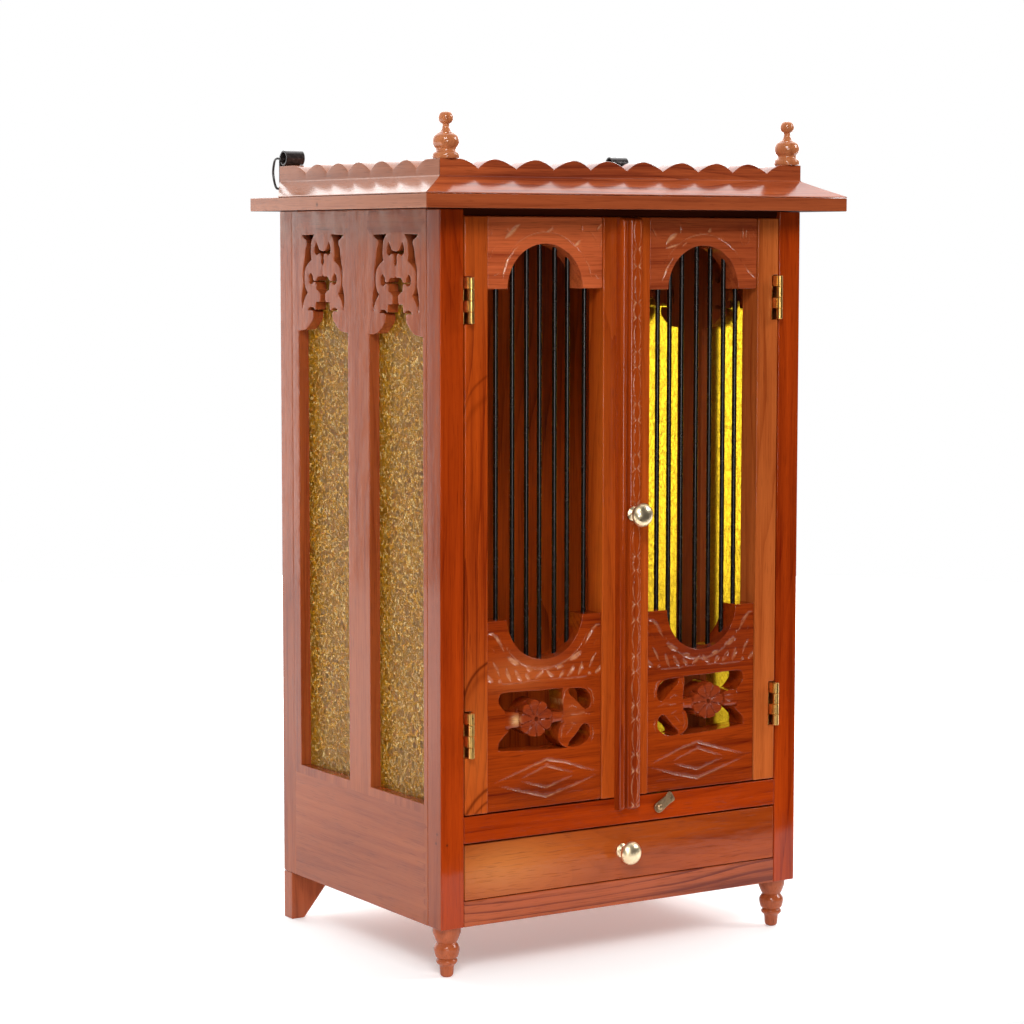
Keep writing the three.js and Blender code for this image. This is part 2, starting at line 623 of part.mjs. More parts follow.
function barrel(side) {
  const [x0, x1] = span(side, 0.3, 18);
  const tube = new THREE.CylinderGeometry(BARREL_RADIUS, BARREL_RADIUS, x1 - x0, 20).rotateZ(Math.PI / 2);
  const bore = new THREE.CylinderGeometry(BARREL_BORE, BARREL_BORE, x1 - x0 + 2, 16).rotateZ(Math.PI / 2);
  tube.translate((x0 + x1) / 2, BARREL_Y, BARREL_Z);
  bore.translate((x0 + x1) / 2, BARREL_Y, BARREL_Z);
  const strapX = span(side, ...STRAP_ENDS);
  const strapBack = DEPTH + STRAP_THICKNESS;
  const tail = box(...strapX, DEPTH, strapBack, PEAK - STRAP_LENGTH, BARREL_Z + 2);
  const bridge = box(...strapX, BARREL_Y + 5.4, strapBack, BARREL_Z - 2, BARREL_Z + 2);
  return cut(join(tube, tail, bridge), bore);
}

// The bail's wire, from one end inside the barrel round the loop to the other
function bail(side) {
  const leg = [
    [266.6, BARREL_Z - 1], [272, BARREL_Z - 0.4], [276.6, BARREL_Z - 3], [279.2, BARREL_Z - 11.5],
    [277.6, BARREL_Z - 19], [274.4, BARREL_Z - 24.6],
  ];
  const out = -1.8;
  const back = 20.2;
  const points = [
    [8.6, ...leg[0]],
    [out + 1, ...leg[0]],
    ...leg.slice(1).map((p) => [out, ...p]),
    [out + 2, 274.2, BARREL_Z - 26.4],
    [back - 2, 274.2, BARREL_Z - 26.4],
    ...leg.slice(1).reverse().map((p) => [back, ...p]),
    [back - 1, ...leg[0]],
    [9.8, ...leg[0]],
  ];
  const path = new THREE.CatmullRomCurve3(
    points.map(([x, y, z]) => new THREE.Vector3(side.mx(x), y, z)),
    false,
    'catmullrom',
    0.35,
  );
  const section = new THREE.Shape().absarc(0, 0, WIRE_RADIUS, 0, 2 * Math.PI);
  return new THREE.ExtrudeGeometry(section, { steps: 34, extrudePath: path, curveSegments: 3 });
}

for (const side of SIDES) {
  add(`hanger_barrel_${side.name}`, barrel(side), BLACK_METAL);
  add(`hanger_bail_${side.name}`, bail(side), BLACK_METAL);
}

// The origin is on the floor, under the middle of the whole piece
cabinet.position.set(-WIDTH / 2, -125.1, 0);
const model = new THREE.Group();
model.add(cabinet);

export default model;
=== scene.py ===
import json
import math

import bmesh
import bpy
import numpy as np
from mathutils import Matrix, Vector
from mathutils.geometry import delaunay_2d_cdt


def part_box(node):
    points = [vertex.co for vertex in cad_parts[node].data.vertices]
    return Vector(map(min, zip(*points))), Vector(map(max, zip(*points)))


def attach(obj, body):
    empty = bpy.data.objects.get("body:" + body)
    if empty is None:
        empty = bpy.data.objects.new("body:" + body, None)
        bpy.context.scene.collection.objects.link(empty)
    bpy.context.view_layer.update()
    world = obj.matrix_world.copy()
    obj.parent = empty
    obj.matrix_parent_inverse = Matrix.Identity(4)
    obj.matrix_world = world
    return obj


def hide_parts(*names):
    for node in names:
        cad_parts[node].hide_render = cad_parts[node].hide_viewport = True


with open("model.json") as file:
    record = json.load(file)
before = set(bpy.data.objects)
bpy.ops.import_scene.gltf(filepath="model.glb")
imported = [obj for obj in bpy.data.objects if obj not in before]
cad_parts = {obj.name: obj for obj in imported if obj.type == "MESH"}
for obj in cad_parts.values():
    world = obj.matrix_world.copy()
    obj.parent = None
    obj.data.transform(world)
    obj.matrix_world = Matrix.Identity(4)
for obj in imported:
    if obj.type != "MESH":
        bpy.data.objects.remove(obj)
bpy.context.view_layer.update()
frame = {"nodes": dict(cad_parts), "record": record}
NODES = frame["nodes"]
SCENE = bpy.context.scene

# The part's own measures are millimetres from the left face, the front face and the floor.
OX, OY = -180.0, -125.1
WIDTH = 360.0
SIDES = (("left", lambda d: d), ("right", lambda d: WIDTH - d))
rng = np.random.default_rng(7)


def place(points):
    """Millimetres from the body's left face, front face and floor to metres in the part's frame."""
    p = np.asarray(points, float).reshape(-1, 3)
    return (p + np.array([OX, OY, 0.0])) * 0.001


# ---------------------------------------------------------------- materials

class Signal:
    """One value in a node graph. Sums, products and powers of signals and numbers make the math nodes."""

    def __init__(self, graph, socket):
        self.graph, self.socket = graph, socket

    def __add__(self, other):
        return self.graph.math("ADD", self, other)

    def __sub__(self, other):
        return self.graph.math("SUBTRACT", self, other)

    def __rsub__(self, other):
        return self.graph.math("SUBTRACT", other, self)

    def __mul__(self, other):
        return self.graph.math("MULTIPLY", self, other)

    def __truediv__(self, other):
        return self.graph.math("DIVIDE", self, other)

    def __pow__(self, power):
        return self.graph.math("POWER", self, power)

    def __rpow__(self, base):
        return self.graph.math("POWER", base, self)

    def clamped(self):
        self.socket.node.use_clamp = True
        return self

    def spread(self, a, b, c=0.0, d=1.0, smooth=False):
        """c where this is a or less, d where it is b or more, and between them in between."""
        n = self.graph.node("MapRange", interpolation_type="SMOOTHSTEP" if smooth else "LINEAR",
                            Value=self, From_Min=a, From_Max=b, To_Min=c, To_Max=d)
        return Signal(self.graph, n.outputs["Result"])


class Graph:
    """A node tree, with short calls for the nodes that the looks need."""

    def __init__(self, tree):
        self.tree = tree
        tree.nodes.clear()

    def plug(self, value, slot):
        if isinstance(value, Signal):
            self.tree.links.new(value.socket, slot)
        elif slot.type == "RGBA":
            slot.default_value = (*value, 1.0)
        else:
            slot.default_value = value

    def node(self, kind, **values):
        """values are the node's own settings, or what goes into its inputs."""
        n = self.tree.nodes.new("ShaderNode" + kind)
        for key, value in values.items():
            if hasattr(n, key):
                setattr(n, key, value)
            else:
                self.plug(value, n.inputs[key.replace("_", " ")])
        return n

    def math(self, operation, *values):
        n = self.node("Math", operation=operation)
        for value, slot in zip(values, n.inputs):
            self.plug(value, slot)
        return Signal(self, n.outputs[0])

    def vector(self, operation, *values):
        n = self.node("VectorMath", operation=operation)
        for value, slot in zip(values, n.inputs):
            self.plug(value, slot)
        return Signal(self, n.outputs["Value" if operation == "LENGTH" else "Vector"])

    def split(self, vector):
        return [Signal(self, s) for s in self.node("SeparateXYZ", Vector=vector).outputs]

    def coordinates(self, kind="Object"):
        return Signal(self, self.node("TexCoord").outputs[kind])

    def mapped(self, vector, **values):
        return Signal(self, self.node("Mapping", Vector=vector, **values).outputs["Vector"])

    def noise(self, vector, scale, detail=2.0, rough=0.5):
        n = self.node("TexNoise", Vector=vector, Scale=scale, Detail=detail, Roughness=rough)
        return Signal(self, n.outputs["Fac"])

    def mix(self, share, a, b):
        """Colour a, and share of colour b."""
        n = self.node("Mix", data_type="RGBA", blend_type="MIX")
        for slot, value in ((0, share), (6, a), (7, b)):
            self.plug(value, n.inputs[slot])
        return Signal(self, n.outputs[2])


class Material(Graph):
    """A material with one principled shader."""

    def __init__(self, name):
        self.made = bpy.data.materials.new(name)
        self.made.use_nodes = True
        super().__init__(self.made.node_tree)
        out = self.node("OutputMaterial")
        self.shader = self.node("BsdfPrincipled")
        self.tree.links.new(self.shader.outputs["BSDF"], out.inputs["Surface"])

    def set(self, **values):
        for key, value in values.items():
            self.plug(value, self.shader.inputs[key.replace("_", " ")])

    def bump(self, height, strength, distance, coat=False):
        n = self.node("Bump", Strength=strength, Distance=distance, Height=height)
        normal = Signal(self, n.outputs["Normal"])
        self.set(Normal=normal)
        if coat:
            self.set(Coat_Normal=normal)


def wood(name, axis, light, dark, seed=0.0, ring=0.5, ring_gap=9.0, figure=1.0, streak=0.5, pale=0.0,
         rough=0.36, coat=1.0, coat_rough=0.06, coat_ior=1.33, knots=(), patches=(), arcs=(), grey=None):
    """Varnished teak. axis is the way the grain runs. ring is how dark the growth lines are, ring_gap their
    distance in mm, figure how far they wander, streak the strength of the fine fibres, pale how light the
    carved cuts are: partly their own paler bare wood, partly a painted highlight on them. knots bend the
    growth lines round a point (x, y, z, reach in mm, pull), patches tint the wood round one (x, y, z, reach,
    colour, strength, stretch), arcs are dark lines round a point of the front (x, z, radius, width,
    strength), above it. Above the height grey the wood is weathered."""
    m = Material(name)
    here = m.coordinates()
    turned = {"z": (0, 0, 0), "x": (0, -math.pi / 2, 0), "y": (math.pi / 2, 0, 0)}[axis]
    base = m.mapped(here, Rotation=turned, Location=(0.137 * seed, 0.071 * seed, 0.293 * seed))

    def grain(across, along, detail=2.0, rough=0.5):
        return m.noise(m.mapped(base, Scale=(across, across, along)), 1.0, detail, rough)

    def bell(off):
        return 2.718 ** (off * off * -1.0)

    def round_spot(x, y, z, reach, stretch=2.6):
        """1 at the point, fading out over reach mm, and stretch times as far along the grain."""
        squeeze = [(1 / stretch if k == axis else 1) * 1000.0 / reach for k in "xyz"]
        off = m.vector("SUBTRACT", here, tuple(place((x, y, z))[0]))
        return bell(m.vector("LENGTH", m.vector("MULTIPLY", off, squeeze)))

    wander, ripple = grain(7, 1.7, rough=0.45), grain(60, 8)
    x, y, _ = m.split(base)
    rings = (x * 0.72 + y * 0.69) * (1000.0 / ring_gap) + wander * (9.0 * figure) + ripple * 0.6
    for *point, reach, pull in knots:
        rings = rings + round_spot(*point, reach, 2.2) * pull
    late = grain(30, 3).spread(0.3, 0.65, 0.25, 1.0)
    line = m.math("FRACT", rings) ** 4.0 * late
    fibre, band = grain(950, 16, 3.0, 0.6), grain(120, 2.6, 4.0, 0.6)
    blotch, pores = grain(14, 4, 3.0), grain(1700, 55, 1.0)
    tone = band.spread(0.28, 0.72) * 0.55 + blotch.spread(0.3, 0.7) * 0.42 - line * ring
    tone = (tone + (fibre - 0.5) * streak).clamped()
    ramp = m.node("ValToRGB", Fac=tone)
    ends = ramp.color_ramp.elements
    ends[0].position, ends[0].color = 0.0, (*dark, 1)
    ends[1].position, ends[1].color = 1.0, (*light, 1)
    ends.new(0.4).color = (*(0.5 * a + 0.5 * b for a, b in zip(light, dark)), 1)
    color = Signal(m, ramp.outputs["Color"])

    for *point, reach, tint, strength, stretch in (p if len(p) == 7 else (*p, 2.6) for p in patches):
        color = m.mix(round_spot(*point, reach, stretch) * strength, color, tint)
    across, _, up = m.split(here)
    for x, z, radius, width, strength in arcs:
        cx, _, cz = place((x, 0, z))[0]
        dx, dz = across - float(cx), up - float(cz)
        off = (m.math("SQRT", dx * dx + dz * dz) - radius * 0.001) / (width * 0.001)
        mask = bell(off + (ripple - 0.5) * 2.0) * dz.spread(0.0, 0.006, 0.0, strength)
        color = m.mix(mask, color, [c * 0.45 for c in dark])
    pore = pores.spread(0.60, 0.72)
    color = m.mix(pore * 0.4, color, [c * 0.4 for c in dark])
    if grey is not None:
        high = up.spread(grey * 0.001, grey * 0.001 + 0.03, smooth=True)
        haze = m.noise(here, 38.0, 3.0, 0.6).spread(0.3, 0.7)
        color = m.mix(haze * high * 0.55, color, (0.36, 0.20, 0.14))
        marks = m.noise(m.mapped(here, Scale=(300, 22, 420)), 1.0, 3.0, 0.7).spread(0.60, 0.72)
        top = up.spread((grey + 12) * 0.001, (grey + 26) * 0.001, 0.0, 0.6, smooth=True)
        color = m.mix(marks * top, color, (0.06, 0.035, 0.025))
    # The carved cuts are lightened: partly their paler bare wood, partly a painted highlight on the cuts.
    if pale:
        carve = m.node("Attribute", attribute_type="GEOMETRY", attribute_name="carve")
        cut = (Signal(m, carve.outputs["Fac"]) * pale).clamped()
        color = m.mix(cut * grain(240, 120).spread(0.36, 0.58, 0.25, 1.0), color, (0.72, 0.33, 0.16))
    m.set(Base_Color=color, Roughness=blotch.spread(0.2, 0.8, rough - 0.06, rough + 0.1),
          Specular_IOR_Level=0.0, Coat_Weight=coat, Coat_Roughness=coat_rough, Coat_IOR=coat_ior, IOR=1.45)
    m.bump(fibre * 0.22 + grain(110, 60) * 0.8 - pore * 0.25, 0.2, 0.0004, coat=True)
    return m.made


def metal(name, color, rough, grime, scale=220.0, amount=0.35):
    m = Material(name)
    here = m.coordinates()
    dirt = m.noise(here, scale, 4.0, 0.6)
    m.set(Base_Color=m.mix(dirt.spread(0.45, 0.75) * amount, color, grime),
          Roughness=dirt.spread(0.3, 0.8, rough, rough + 0.22), Metallic=1.0)
    m.bump(m.noise(here, 1400.0), 0.08, 0.0002)
    return m.made


def iron(name, dark, light, specular):
    m = Material(name)
    scale = m.noise(m.coordinates(), 300.0, 4.0, 0.6)
    m.set(Base_Color=m.mix(scale.spread(0.45, 0.8), dark, light),
          Roughness=scale.spread(0.3, 0.8, 0.16, 0.34),
          Specular_IOR_Level=specular)
    m.bump(scale, 0.2, 0.0002)
    return m.made


def amber_glass(name, clear, low, high, opaque):
    """Pressed amber sheet: a close pattern of raised curls and flecks, more opaque than the clear gold
    between them. low is the colour of the curls, high that of the flecks."""
    m = Material(name)
    here = m.coordinates()
    warp = m.node("TexNoise", Vector=here, Scale=260.0, Detail=2.0)
    shift = m.node("VectorMath", operation="SCALE", Scale=0.009)
    m.plug(Signal(m, warp.outputs["Color"]), shift.inputs[0])
    tall = m.mapped(m.vector("ADD", here, Signal(m, shift.outputs[0])), Scale=(1.0, 1.0, 0.6))
    cells = m.node("TexVoronoi", feature="DISTANCE_TO_EDGE", Vector=tall, Scale=215.0)
    curl = Signal(m, cells.outputs["Distance"]).spread(0.02, 0.10, 1.0, 0.0, smooth=True)
    fine = m.noise(tall, 560.0, 2.0, 0.6)
    fleck = fine.spread(0.58, 0.615, smooth=True)
    dense = m.noise(here, 45.0, 3.0).spread(0.3, 0.7, 0.8, 1.0)
    lines = (m.math("MAXIMUM", curl, fleck) * dense).clamped()
    m.set(Base_Color=m.mix(lines, clear, m.mix(fleck, low, high)), Transmission_Weight=0.95 - lines * opaque,
          Roughness=0.36, IOR=1.14, Coat_Weight=0.1, Coat_Roughness=0.12)
    m.bump(curl + fine * 0.8, 0.4, 0.0004, coat=True)
    return m.made


RED = dict(light=(0.46, 0.050, 0.003), dark=(0.14, 0.008, 0.001))
PALE = dict(light=(0.54, 0.125, 0.022), dark=(0.25, 0.040, 0.005))
CARVED = dict(light=(0.41, 0.053, 0.0038), dark=(0.12, 0.009, 0.002), ring=0.3, ring_gap=5, figure=1.6,
              streak=0.8)
ARCH = dict(ring=0.16, ring_gap=4, figure=1.5, streak=0.9, pale=0.9)
SIDE = dict(light=(0.40, 0.095, 0.025), dark=(0.17, 0.024, 0.006), ring=0.22, grey=585)
TURNED = dict(light=(0.68, 0.25, 0.10), dark=(0.34, 0.085, 0.028), ring=0.25, ring_gap=6, streak=0.5)
SOFT_COAT = dict(coat=0.5, coat_rough=0.2)
BURNT = (0.10, 0.012, 0.004)

WOODS = {
    "post": dict(axis="z", seed=1.3, ring=0.25, streak=0.6, light=(0.50, 0.058, 0.004),
                 dark=(0.16, 0.010, 0.001),
                 patches=[(5.9, 0, 111.7, 1.1, (0.03, 0.008, 0.004), 0.8, 1.0)]),
    "post_side": dict(axis="z", seed=1.3, ring=0.25, streak=0.6, light=(0.36, 0.075, 0.020),
                      dark=(0.15, 0.020, 0.005), patches=[(0, 7.4, 112.7, 1.1, (0.03, 0.01, 0.006), 0.8, 1.0),
                                                          (0, 5.8, 120.4, 1.1, (0.03, 0.01, 0.006), 0.8,
                                                           1.0)]),
    "stile_left": dict(axis="z", seed=4.1, ring=0.6, figure=1.7, streak=0.6, light=(0.58, 0.080, 0.006),
                       dark=(0.20, 0.018, 0.002),
                       patches=[(33, 0, 190, 26, (0.54, 0.12, 0.02), 0.6),
                                (36, 0, 590, 26, (0.5, 0.10, 0.016), 0.5)],
                       arcs=[(60, 222, 39, 1.3, 0.8), (60, 214, 39, 3.5, 0.35), (64, 112, 46, 1.6, 0.7),
                             (64, 104, 44, 1.2, 0.6), (60, 455, 38, 1.2, 0.45), (60, 438, 38, 2.5, 0.3)]),
    "stile_right": dict(axis="z", seed=6.7, ring=0.3, ring_gap=12, streak=0.6, light=(0.64, 0.155, 0.032),
                        dark=(0.30, 0.050, 0.008)),
    "stile_inner": dict(axis="z", seed=2.7, ring=0.3, ring_gap=12, streak=0.6, light=(0.60, 0.105, 0.012),
                        dark=(0.26, 0.030, 0.003)),
    "board_left": dict(axis="x", seed=2.2, pale=0.62, **CARVED,
                       # The pale spot on the raised bud is a painted highlight.
                       patches=[(73, 1, 207.6, 3.9, (0.80, 0.44, 0.18), 0.95, 1.0),
                                (100, 1, 146, 13, BURNT, 0.6),
                                (96, 1, 262, 12, (0.14, 0.016, 0.008), 0.65),
                                (75, 1, 246, 14, (0.55, 0.13, 0.03), 0.6),
                                (93.4, 1, 207, 16, (0.24, 0.04, 0.014), 0.75, 1.0),
                                (128, 1, 208, 12, (0.46, 0.10, 0.024), 0.4, 1.0)]),
    "board_right": dict(axis="x", seed=3.4, pale=0.34, **CARVED,
                        patches=[(252, 1, 150, 12, BURNT, 0.4), (262, 1, 254, 16, (0.15, 0.020, 0.009), 0.7),
                                 (267.6, 1, 207, 17, (0.22, 0.04, 0.016), 0.75, 1.0)]),
    "arch_left": dict(axis="x", seed=4.6, light=(0.76, 0.165, 0.050), dark=(0.30, 0.044, 0.013), **ARCH),
    # The right arch board gets darker wood than the left one: painted shade that offsets the fill lamp on it.
    "arch_right": dict(axis="x", seed=7.4, light=(0.56, 0.110, 0.030), dark=(0.20, 0.028, 0.008), **ARCH),
    "strip": dict(axis="z", seed=8.4, ring=0.3, streak=0.6, pale=0.75, light=(0.48, 0.070, 0.006),
                  dark=(0.16, 0.012, 0.002)),
    "rail": dict(axis="x", seed=3.6, ring=0.3, **RED),
    "bottom_rail": dict(axis="x", seed=5.9, ring=0.85, ring_gap=6.0, figure=1.6, streak=0.4,
                        light=(0.54, 0.115, 0.032), dark=(0.15, 0.022, 0.008)),
    "drawer": dict(axis="x", seed=7.2, ring=0.28, ring_gap=12, figure=1.2, streak=0.35,
                   light=(0.40, 0.064, 0.006), dark=(0.17, 0.018, 0.002), knots=[(66, 0, 86, 26, 5.0)],
                   patches=[(66, 0, 87, 20, (0.66, 0.26, 0.065), 0.7),
                            (110, 0, 84, 38, (0.46, 0.10, 0.018), 0.6)]),
    "side_upright": dict(axis="z", seed=9.4, streak=0.7, **SIDE),
    "side_rail": dict(axis="y", seed=1.9, ring_gap=10, figure=1.3, **SIDE),
    "eave": dict(axis="x", seed=2.9, ring=0.3, streak=0.7, coat_rough=0.22, light=(0.44, 0.095, 0.028),
                 dark=(0.20, 0.034, 0.010)),
    # Near-black wood for the eave's underside: painted shade under the overhang.
    "shade_under_eave": dict(axis="x", seed=2.9, ring=0.3, coat=0.1, coat_rough=0.4, light=(0.07, 0.012, 0.004),
                       dark=(0.03, 0.005, 0.002)),
    "crown": dict(axis="x", seed=5.2, ring_gap=6, streak=0.8, coat_rough=0.14, light=(0.54, 0.115, 0.032),
                  dark=(0.18, 0.028, 0.010)),
    "eave_side": dict(axis="y", seed=3.3, ring=0.25, coat_rough=0.14, light=(0.47, 0.175, 0.086),
                      dark=(0.26, 0.078, 0.034),
                      patches=[(-28.7, 149.9, 627.9, 1.6, (0.05, 0.02, 0.01), 0.9, 1.0)]),
    "turned": dict(axis="z", seed=6.1, pale=0.5, coat_ior=1.5, **TURNED),
    "foot": dict(axis="z", seed=3.1, ring=0.3, ring_gap=6, light=(0.42, 0.10, 0.035),
                 dark=(0.20, 0.04, 0.012)),
    "inside": dict(axis="z", seed=7.7, ring=0.4, ring_gap=13, streak=0.6, light=(0.66, 0.105, 0.012),
                   dark=(0.17, 0.022, 0.004), **SOFT_COAT),
    "floor": dict(axis="x", seed=4.2, ring=0.4, ring_gap=13, streak=0.6, light=(0.56, 0.09, 0.014),
                  dark=(0.18, 0.024, 0.005), **SOFT_COAT),
    "back": dict(axis="z", seed=5.5, ring=0.22, ring_gap=15, light=(0.30, 0.062, 0.018),
                 dark=(0.17, 0.030, 0.009), **SOFT_COAT),
    "tray": dict(axis="y", seed=8.8, ring=0.3, ring_gap=12, coat=0.05, rough=0.6, **PALE),
}
M = {key: wood(f"wood_{key}", **look) for key, look in WOODS.items()}
BRASS = metal("aged_brass", (0.80, 0.47, 0.14), 0.25, (0.26, 0.12, 0.03), amount=0.5)
POLISHED = metal("polished_brass", (0.95, 0.77, 0.50), 0.27, (0.50, 0.34, 0.16), scale=120.0)
DULL = metal("dull_brass", (0.44, 0.29, 0.16), 0.3, (0.08, 0.045, 0.028), scale=260.0, amount=0.85)
IRON = iron("black_iron", (0.004, 0.002, 0.0015), (0.016, 0.008, 0.005), 0.35)
HANGER_IRON = iron("hanger_iron", (0.022, 0.017, 0.016), (0.07, 0.05, 0.045), 0.5)
GLASS = {
    "left": amber_glass("amber_glass", (0.66, 0.35, 0.008), (0.58, 0.26, 0.012), (0.92, 0.66, 0.25), 0.8),
    # The right glass is a darker copy of the left one: painted shade that offsets the light shining through
    # it from behind.
    "right": amber_glass("amber_glass_right_darkened", (0.40, 0.26, 0.010), (0.30, 0.18, 0.008), (0.50, 0.35, 0.03),
                         0.5),
}


# ---------------------------------------------------------------- mesh tools

def hand_in(name, me, body, node_name, sharp):
    """Makes the mesh a piece that rides on its body and is seen instead of the node."""
    finish_mesh(me, sharp)
    ob = bpy.data.objects.new(name, me)
    SCENE.collection.objects.link(ob)
    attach(ob, body)
    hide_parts(node_name)
    even_normals(ob)
    return ob


def make_object(name, verts_m, faces, material, body, node_name, sharp=38.0, mats=None, carve=None):
    me = bpy.data.meshes.new(name)
    me.from_pydata([tuple(v) for v in verts_m], [], [tuple(f) for f in faces])
    for m in (material if isinstance(material, (list, tuple)) else [material]):
        me.materials.append(m)
    if mats is not None:
        me.polygons.foreach_set("material_index", np.asarray(mats, np.int32))
    if carve is not None:
        att = me.attributes.new("carve", "FLOAT", "POINT")
        att.data.foreach_set("value", np.asarray(carve, np.float32))
    me.validate()
    return hand_in(name, me, body, node_name, sharp)


def tube_faces(rings, n):
    """Faces of a closed tube of rings of n points each, with both its ends."""
    faces = [(i * n + j, i * n + (j + 1) % n, (i + 1) * n + (j + 1) % n, (i + 1) * n + j)
             for i in range(rings - 1) for j in range(n)]
    return faces + [tuple(range(n)), tuple(range((rings - 1) * n, rings * n))[::-1]]


def cube(bm, x0, x1, y0, y1, z0, z1, to_space=Vector):
    made = bmesh.ops.create_cube(bm, size=1.0)["verts"]
    for v in made:
        v.co = to_space(((x0 + x1) / 2 + v.co.x * abs(x1 - x0), (y0 + y1) / 2 + v.co.y * abs(y1 - y0),
                         (z0 + z1) / 2 + v.co.z * abs(z1 - z0)))
    return made


def finish_mesh(me, sharp):
    bm = bmesh.new()
    bm.from_mesh(me)
    bmesh.ops.recalc_face_normals(bm, faces=bm.faces)
    bm.to_mesh(me)
    bm.free()
    me.polygons.foreach_set("use_smooth", np.ones(len(me.polygons), bool))
    me.set_sharp_from_angle(angle=math.radians(sharp))
    me.update()


def even_normals(ob):
    """Flat faces stay flat beside their rounded arrises."""
    mod = ob.modifiers.new("even_normals", "WEIGHTED_NORMAL")
    mod.mode = "FACE_AREA"
    mod.weight = 50
    mod.keep_sharp = True


def body_of(name):
    for b, members in frame["record"]["behaviour"]["bodies"].items():
        if name in members:
            return b
    raise KeyError(name)


def softened(name, material, width):
    """The node's own shape with its arrises rounded over, as worn varnished wood has them."""
    src = NODES[name].data
    bm = bmesh.new()
    bm.from_mesh(src)
    bmesh.ops.remove_doubles(bm, verts=bm.verts, dist=1e-6)
    bmesh.ops.dissolve_limit(bm, angle_limit=math.radians(1.5), verts=bm.verts, edges=bm.edges)
    edges = [e for e in bm.edges if len(e.link_faces) == 2 and e.calc_face_angle(0) > math.radians(28)]
    bmesh.ops.bevel(bm, geom=edges, offset=width * 0.001, segments=2, profile=0.5, affect="EDGES",
                    clamp_overlap=True)
    bmesh.ops.triangulate(bm, faces=[f for f in bm.faces if len(f.verts) > 4])
    me = bpy.data.meshes.new(name + "_piece")
    bm.to_mesh(me)
    bm.free()
    me.materials.append(material)
    return hand_in(name + "_piece", me, body_of(name), name, 32.0)


def catmull(points, per=6, closed=False, corner=55.0):
    """A smooth curve through points, with a corner wherever the outline turns by more than corner degrees."""
    p = np.asarray(points, float)
    n = len(p)
    out = []
    count = n if closed else n - 1

    def turning(i):
        if not closed and i in (0, n - 1):
            return 180.0
        a, b = p[i] - p[(i - 1) % n], p[(i + 1) % n] - p[i]
        c = np.dot(a, b) / (np.linalg.norm(a) * np.linalg.norm(b) + 1e-12)
        return math.degrees(math.acos(np.clip(c, -1, 1)))

    for i in range(count):
        p1, p2 = p[i], p[(i + 1) % n]
        p0 = p[(i - 1) % n] if turning(i) < corner else 2 * p1 - p2
        p3 = p[(i + 2) % n] if turning((i + 1) % n) < corner else 2 * p2 - p1
        chord = np.linalg.norm(p2 - p1)
        m1 = (p2 - p0) / 2
        m2 = (p3 - p1) / 2
        for m in (m1, m2):
            size = np.linalg.norm(m)
            if size > 1.2 * chord:
                m *= 1.2 * chord / size
        steps = max(1, min(per, int(math.ceil(chord / 0.8))))
        for k in range(steps):
            t = k / steps
            h1, h2 = 2 * t**3 - 3 * t**2 + 1, -2 * t**3 + 3 * t**2
            h3, h4 = t**3 - 2 * t**2 + t, t**3 - t**2
            out.append(h1 * p1 + h2 * p2 + h3 * m1 + h4 * m2)
    if not closed:
        out.append(p[-1])
    return np.array(out)


def resample(loop, step):
    """Adds points so that no edge of the closed loop is longer than step."""
    out = []
    n = len(loop)
    for i in range(n):
        a, b = loop[i], loop[(i + 1) % n]
        k = max(1, int(math.ceil(np.linalg.norm(b - a) / step)))
        out.extend(a + (b - a) * t for t in np.arange(k) / k)
    return np.array(out)


def inside(points, loops):
    """Even-odd test of points against all loops together."""
    hit = np.zeros(len(points), bool)
    x, y = points[:, 0], points[:, 1]
    for loop in loops:
        nxt = np.roll(loop, -1, 0)
        for (x0, y0), (x1, y1) in zip(loop, nxt):
            if y0 == y1:
                continue
            c = (y0 > y) != (y1 > y)
            hit ^= c & (x < (x1 - x0) * (y - y0) / (y1 - y0) + x0)
    return hit


def segment_distance(points, a, b):
    """Distance from each point to the segment a-b, and how far along it the nearest place is, 0 to 1."""
    d = b - a
    t = np.clip(((points - a) @ d) / max(d @ d, 1e-12), 0, 1)
    return np.linalg.norm(points - (a + t[:, None] * d), axis=1), t


def loops_distance(points, loops):
    best = np.full(len(points), 1e9)
    for loop in loops:
        nxt = np.roll(loop, -1, 0)
        for a, b in zip(loop, nxt):
            d, _ = segment_distance(points, a, b)
            np.minimum(best, d, out=best)
    return best


def stroke(points, path, width, depth, round_cut=False):
    """How deep a cut along path goes at each point: a V, or a round gouge, that fades out at both ends."""
    path = np.asarray(path, float)
    lengths = np.linalg.norm(np.diff(path, axis=0), axis=1)
    total = lengths.sum()
    best = np.zeros(len(points))
    run = 0.0
    for a, b, l in zip(path[:-1], path[1:], lengths):
        d, t = segment_distance(points, a, b)
        s = (run + t * l) / total
        k = np.sqrt(np.clip(np.sin(np.pi * np.clip(s, 0.015, 0.985)), 0, 1))
        q = np.clip(1 - d / (0.5 * width * k + 1e-9), 0, 1)
        if round_cut:
            q = np.sqrt(np.clip(1 - (1 - q) ** 2, 0, 1))
        best = np.maximum(best, depth * k * q)
        run += l
    return best


def triangles(points, edges, loops):
    """The triangles between the points that lie inside the loops."""
    _, _, faces, origin, _, _ = delaunay_2d_cdt([Vector(p) for p in points], edges, [], 0, 1e-5, True)
    tri = np.array([[origin[i][0] for i in f] for f in faces if len(f) == 3 and all(origin[i] for i in f)])
    return tri[inside(points[tri].mean(1), loops)]


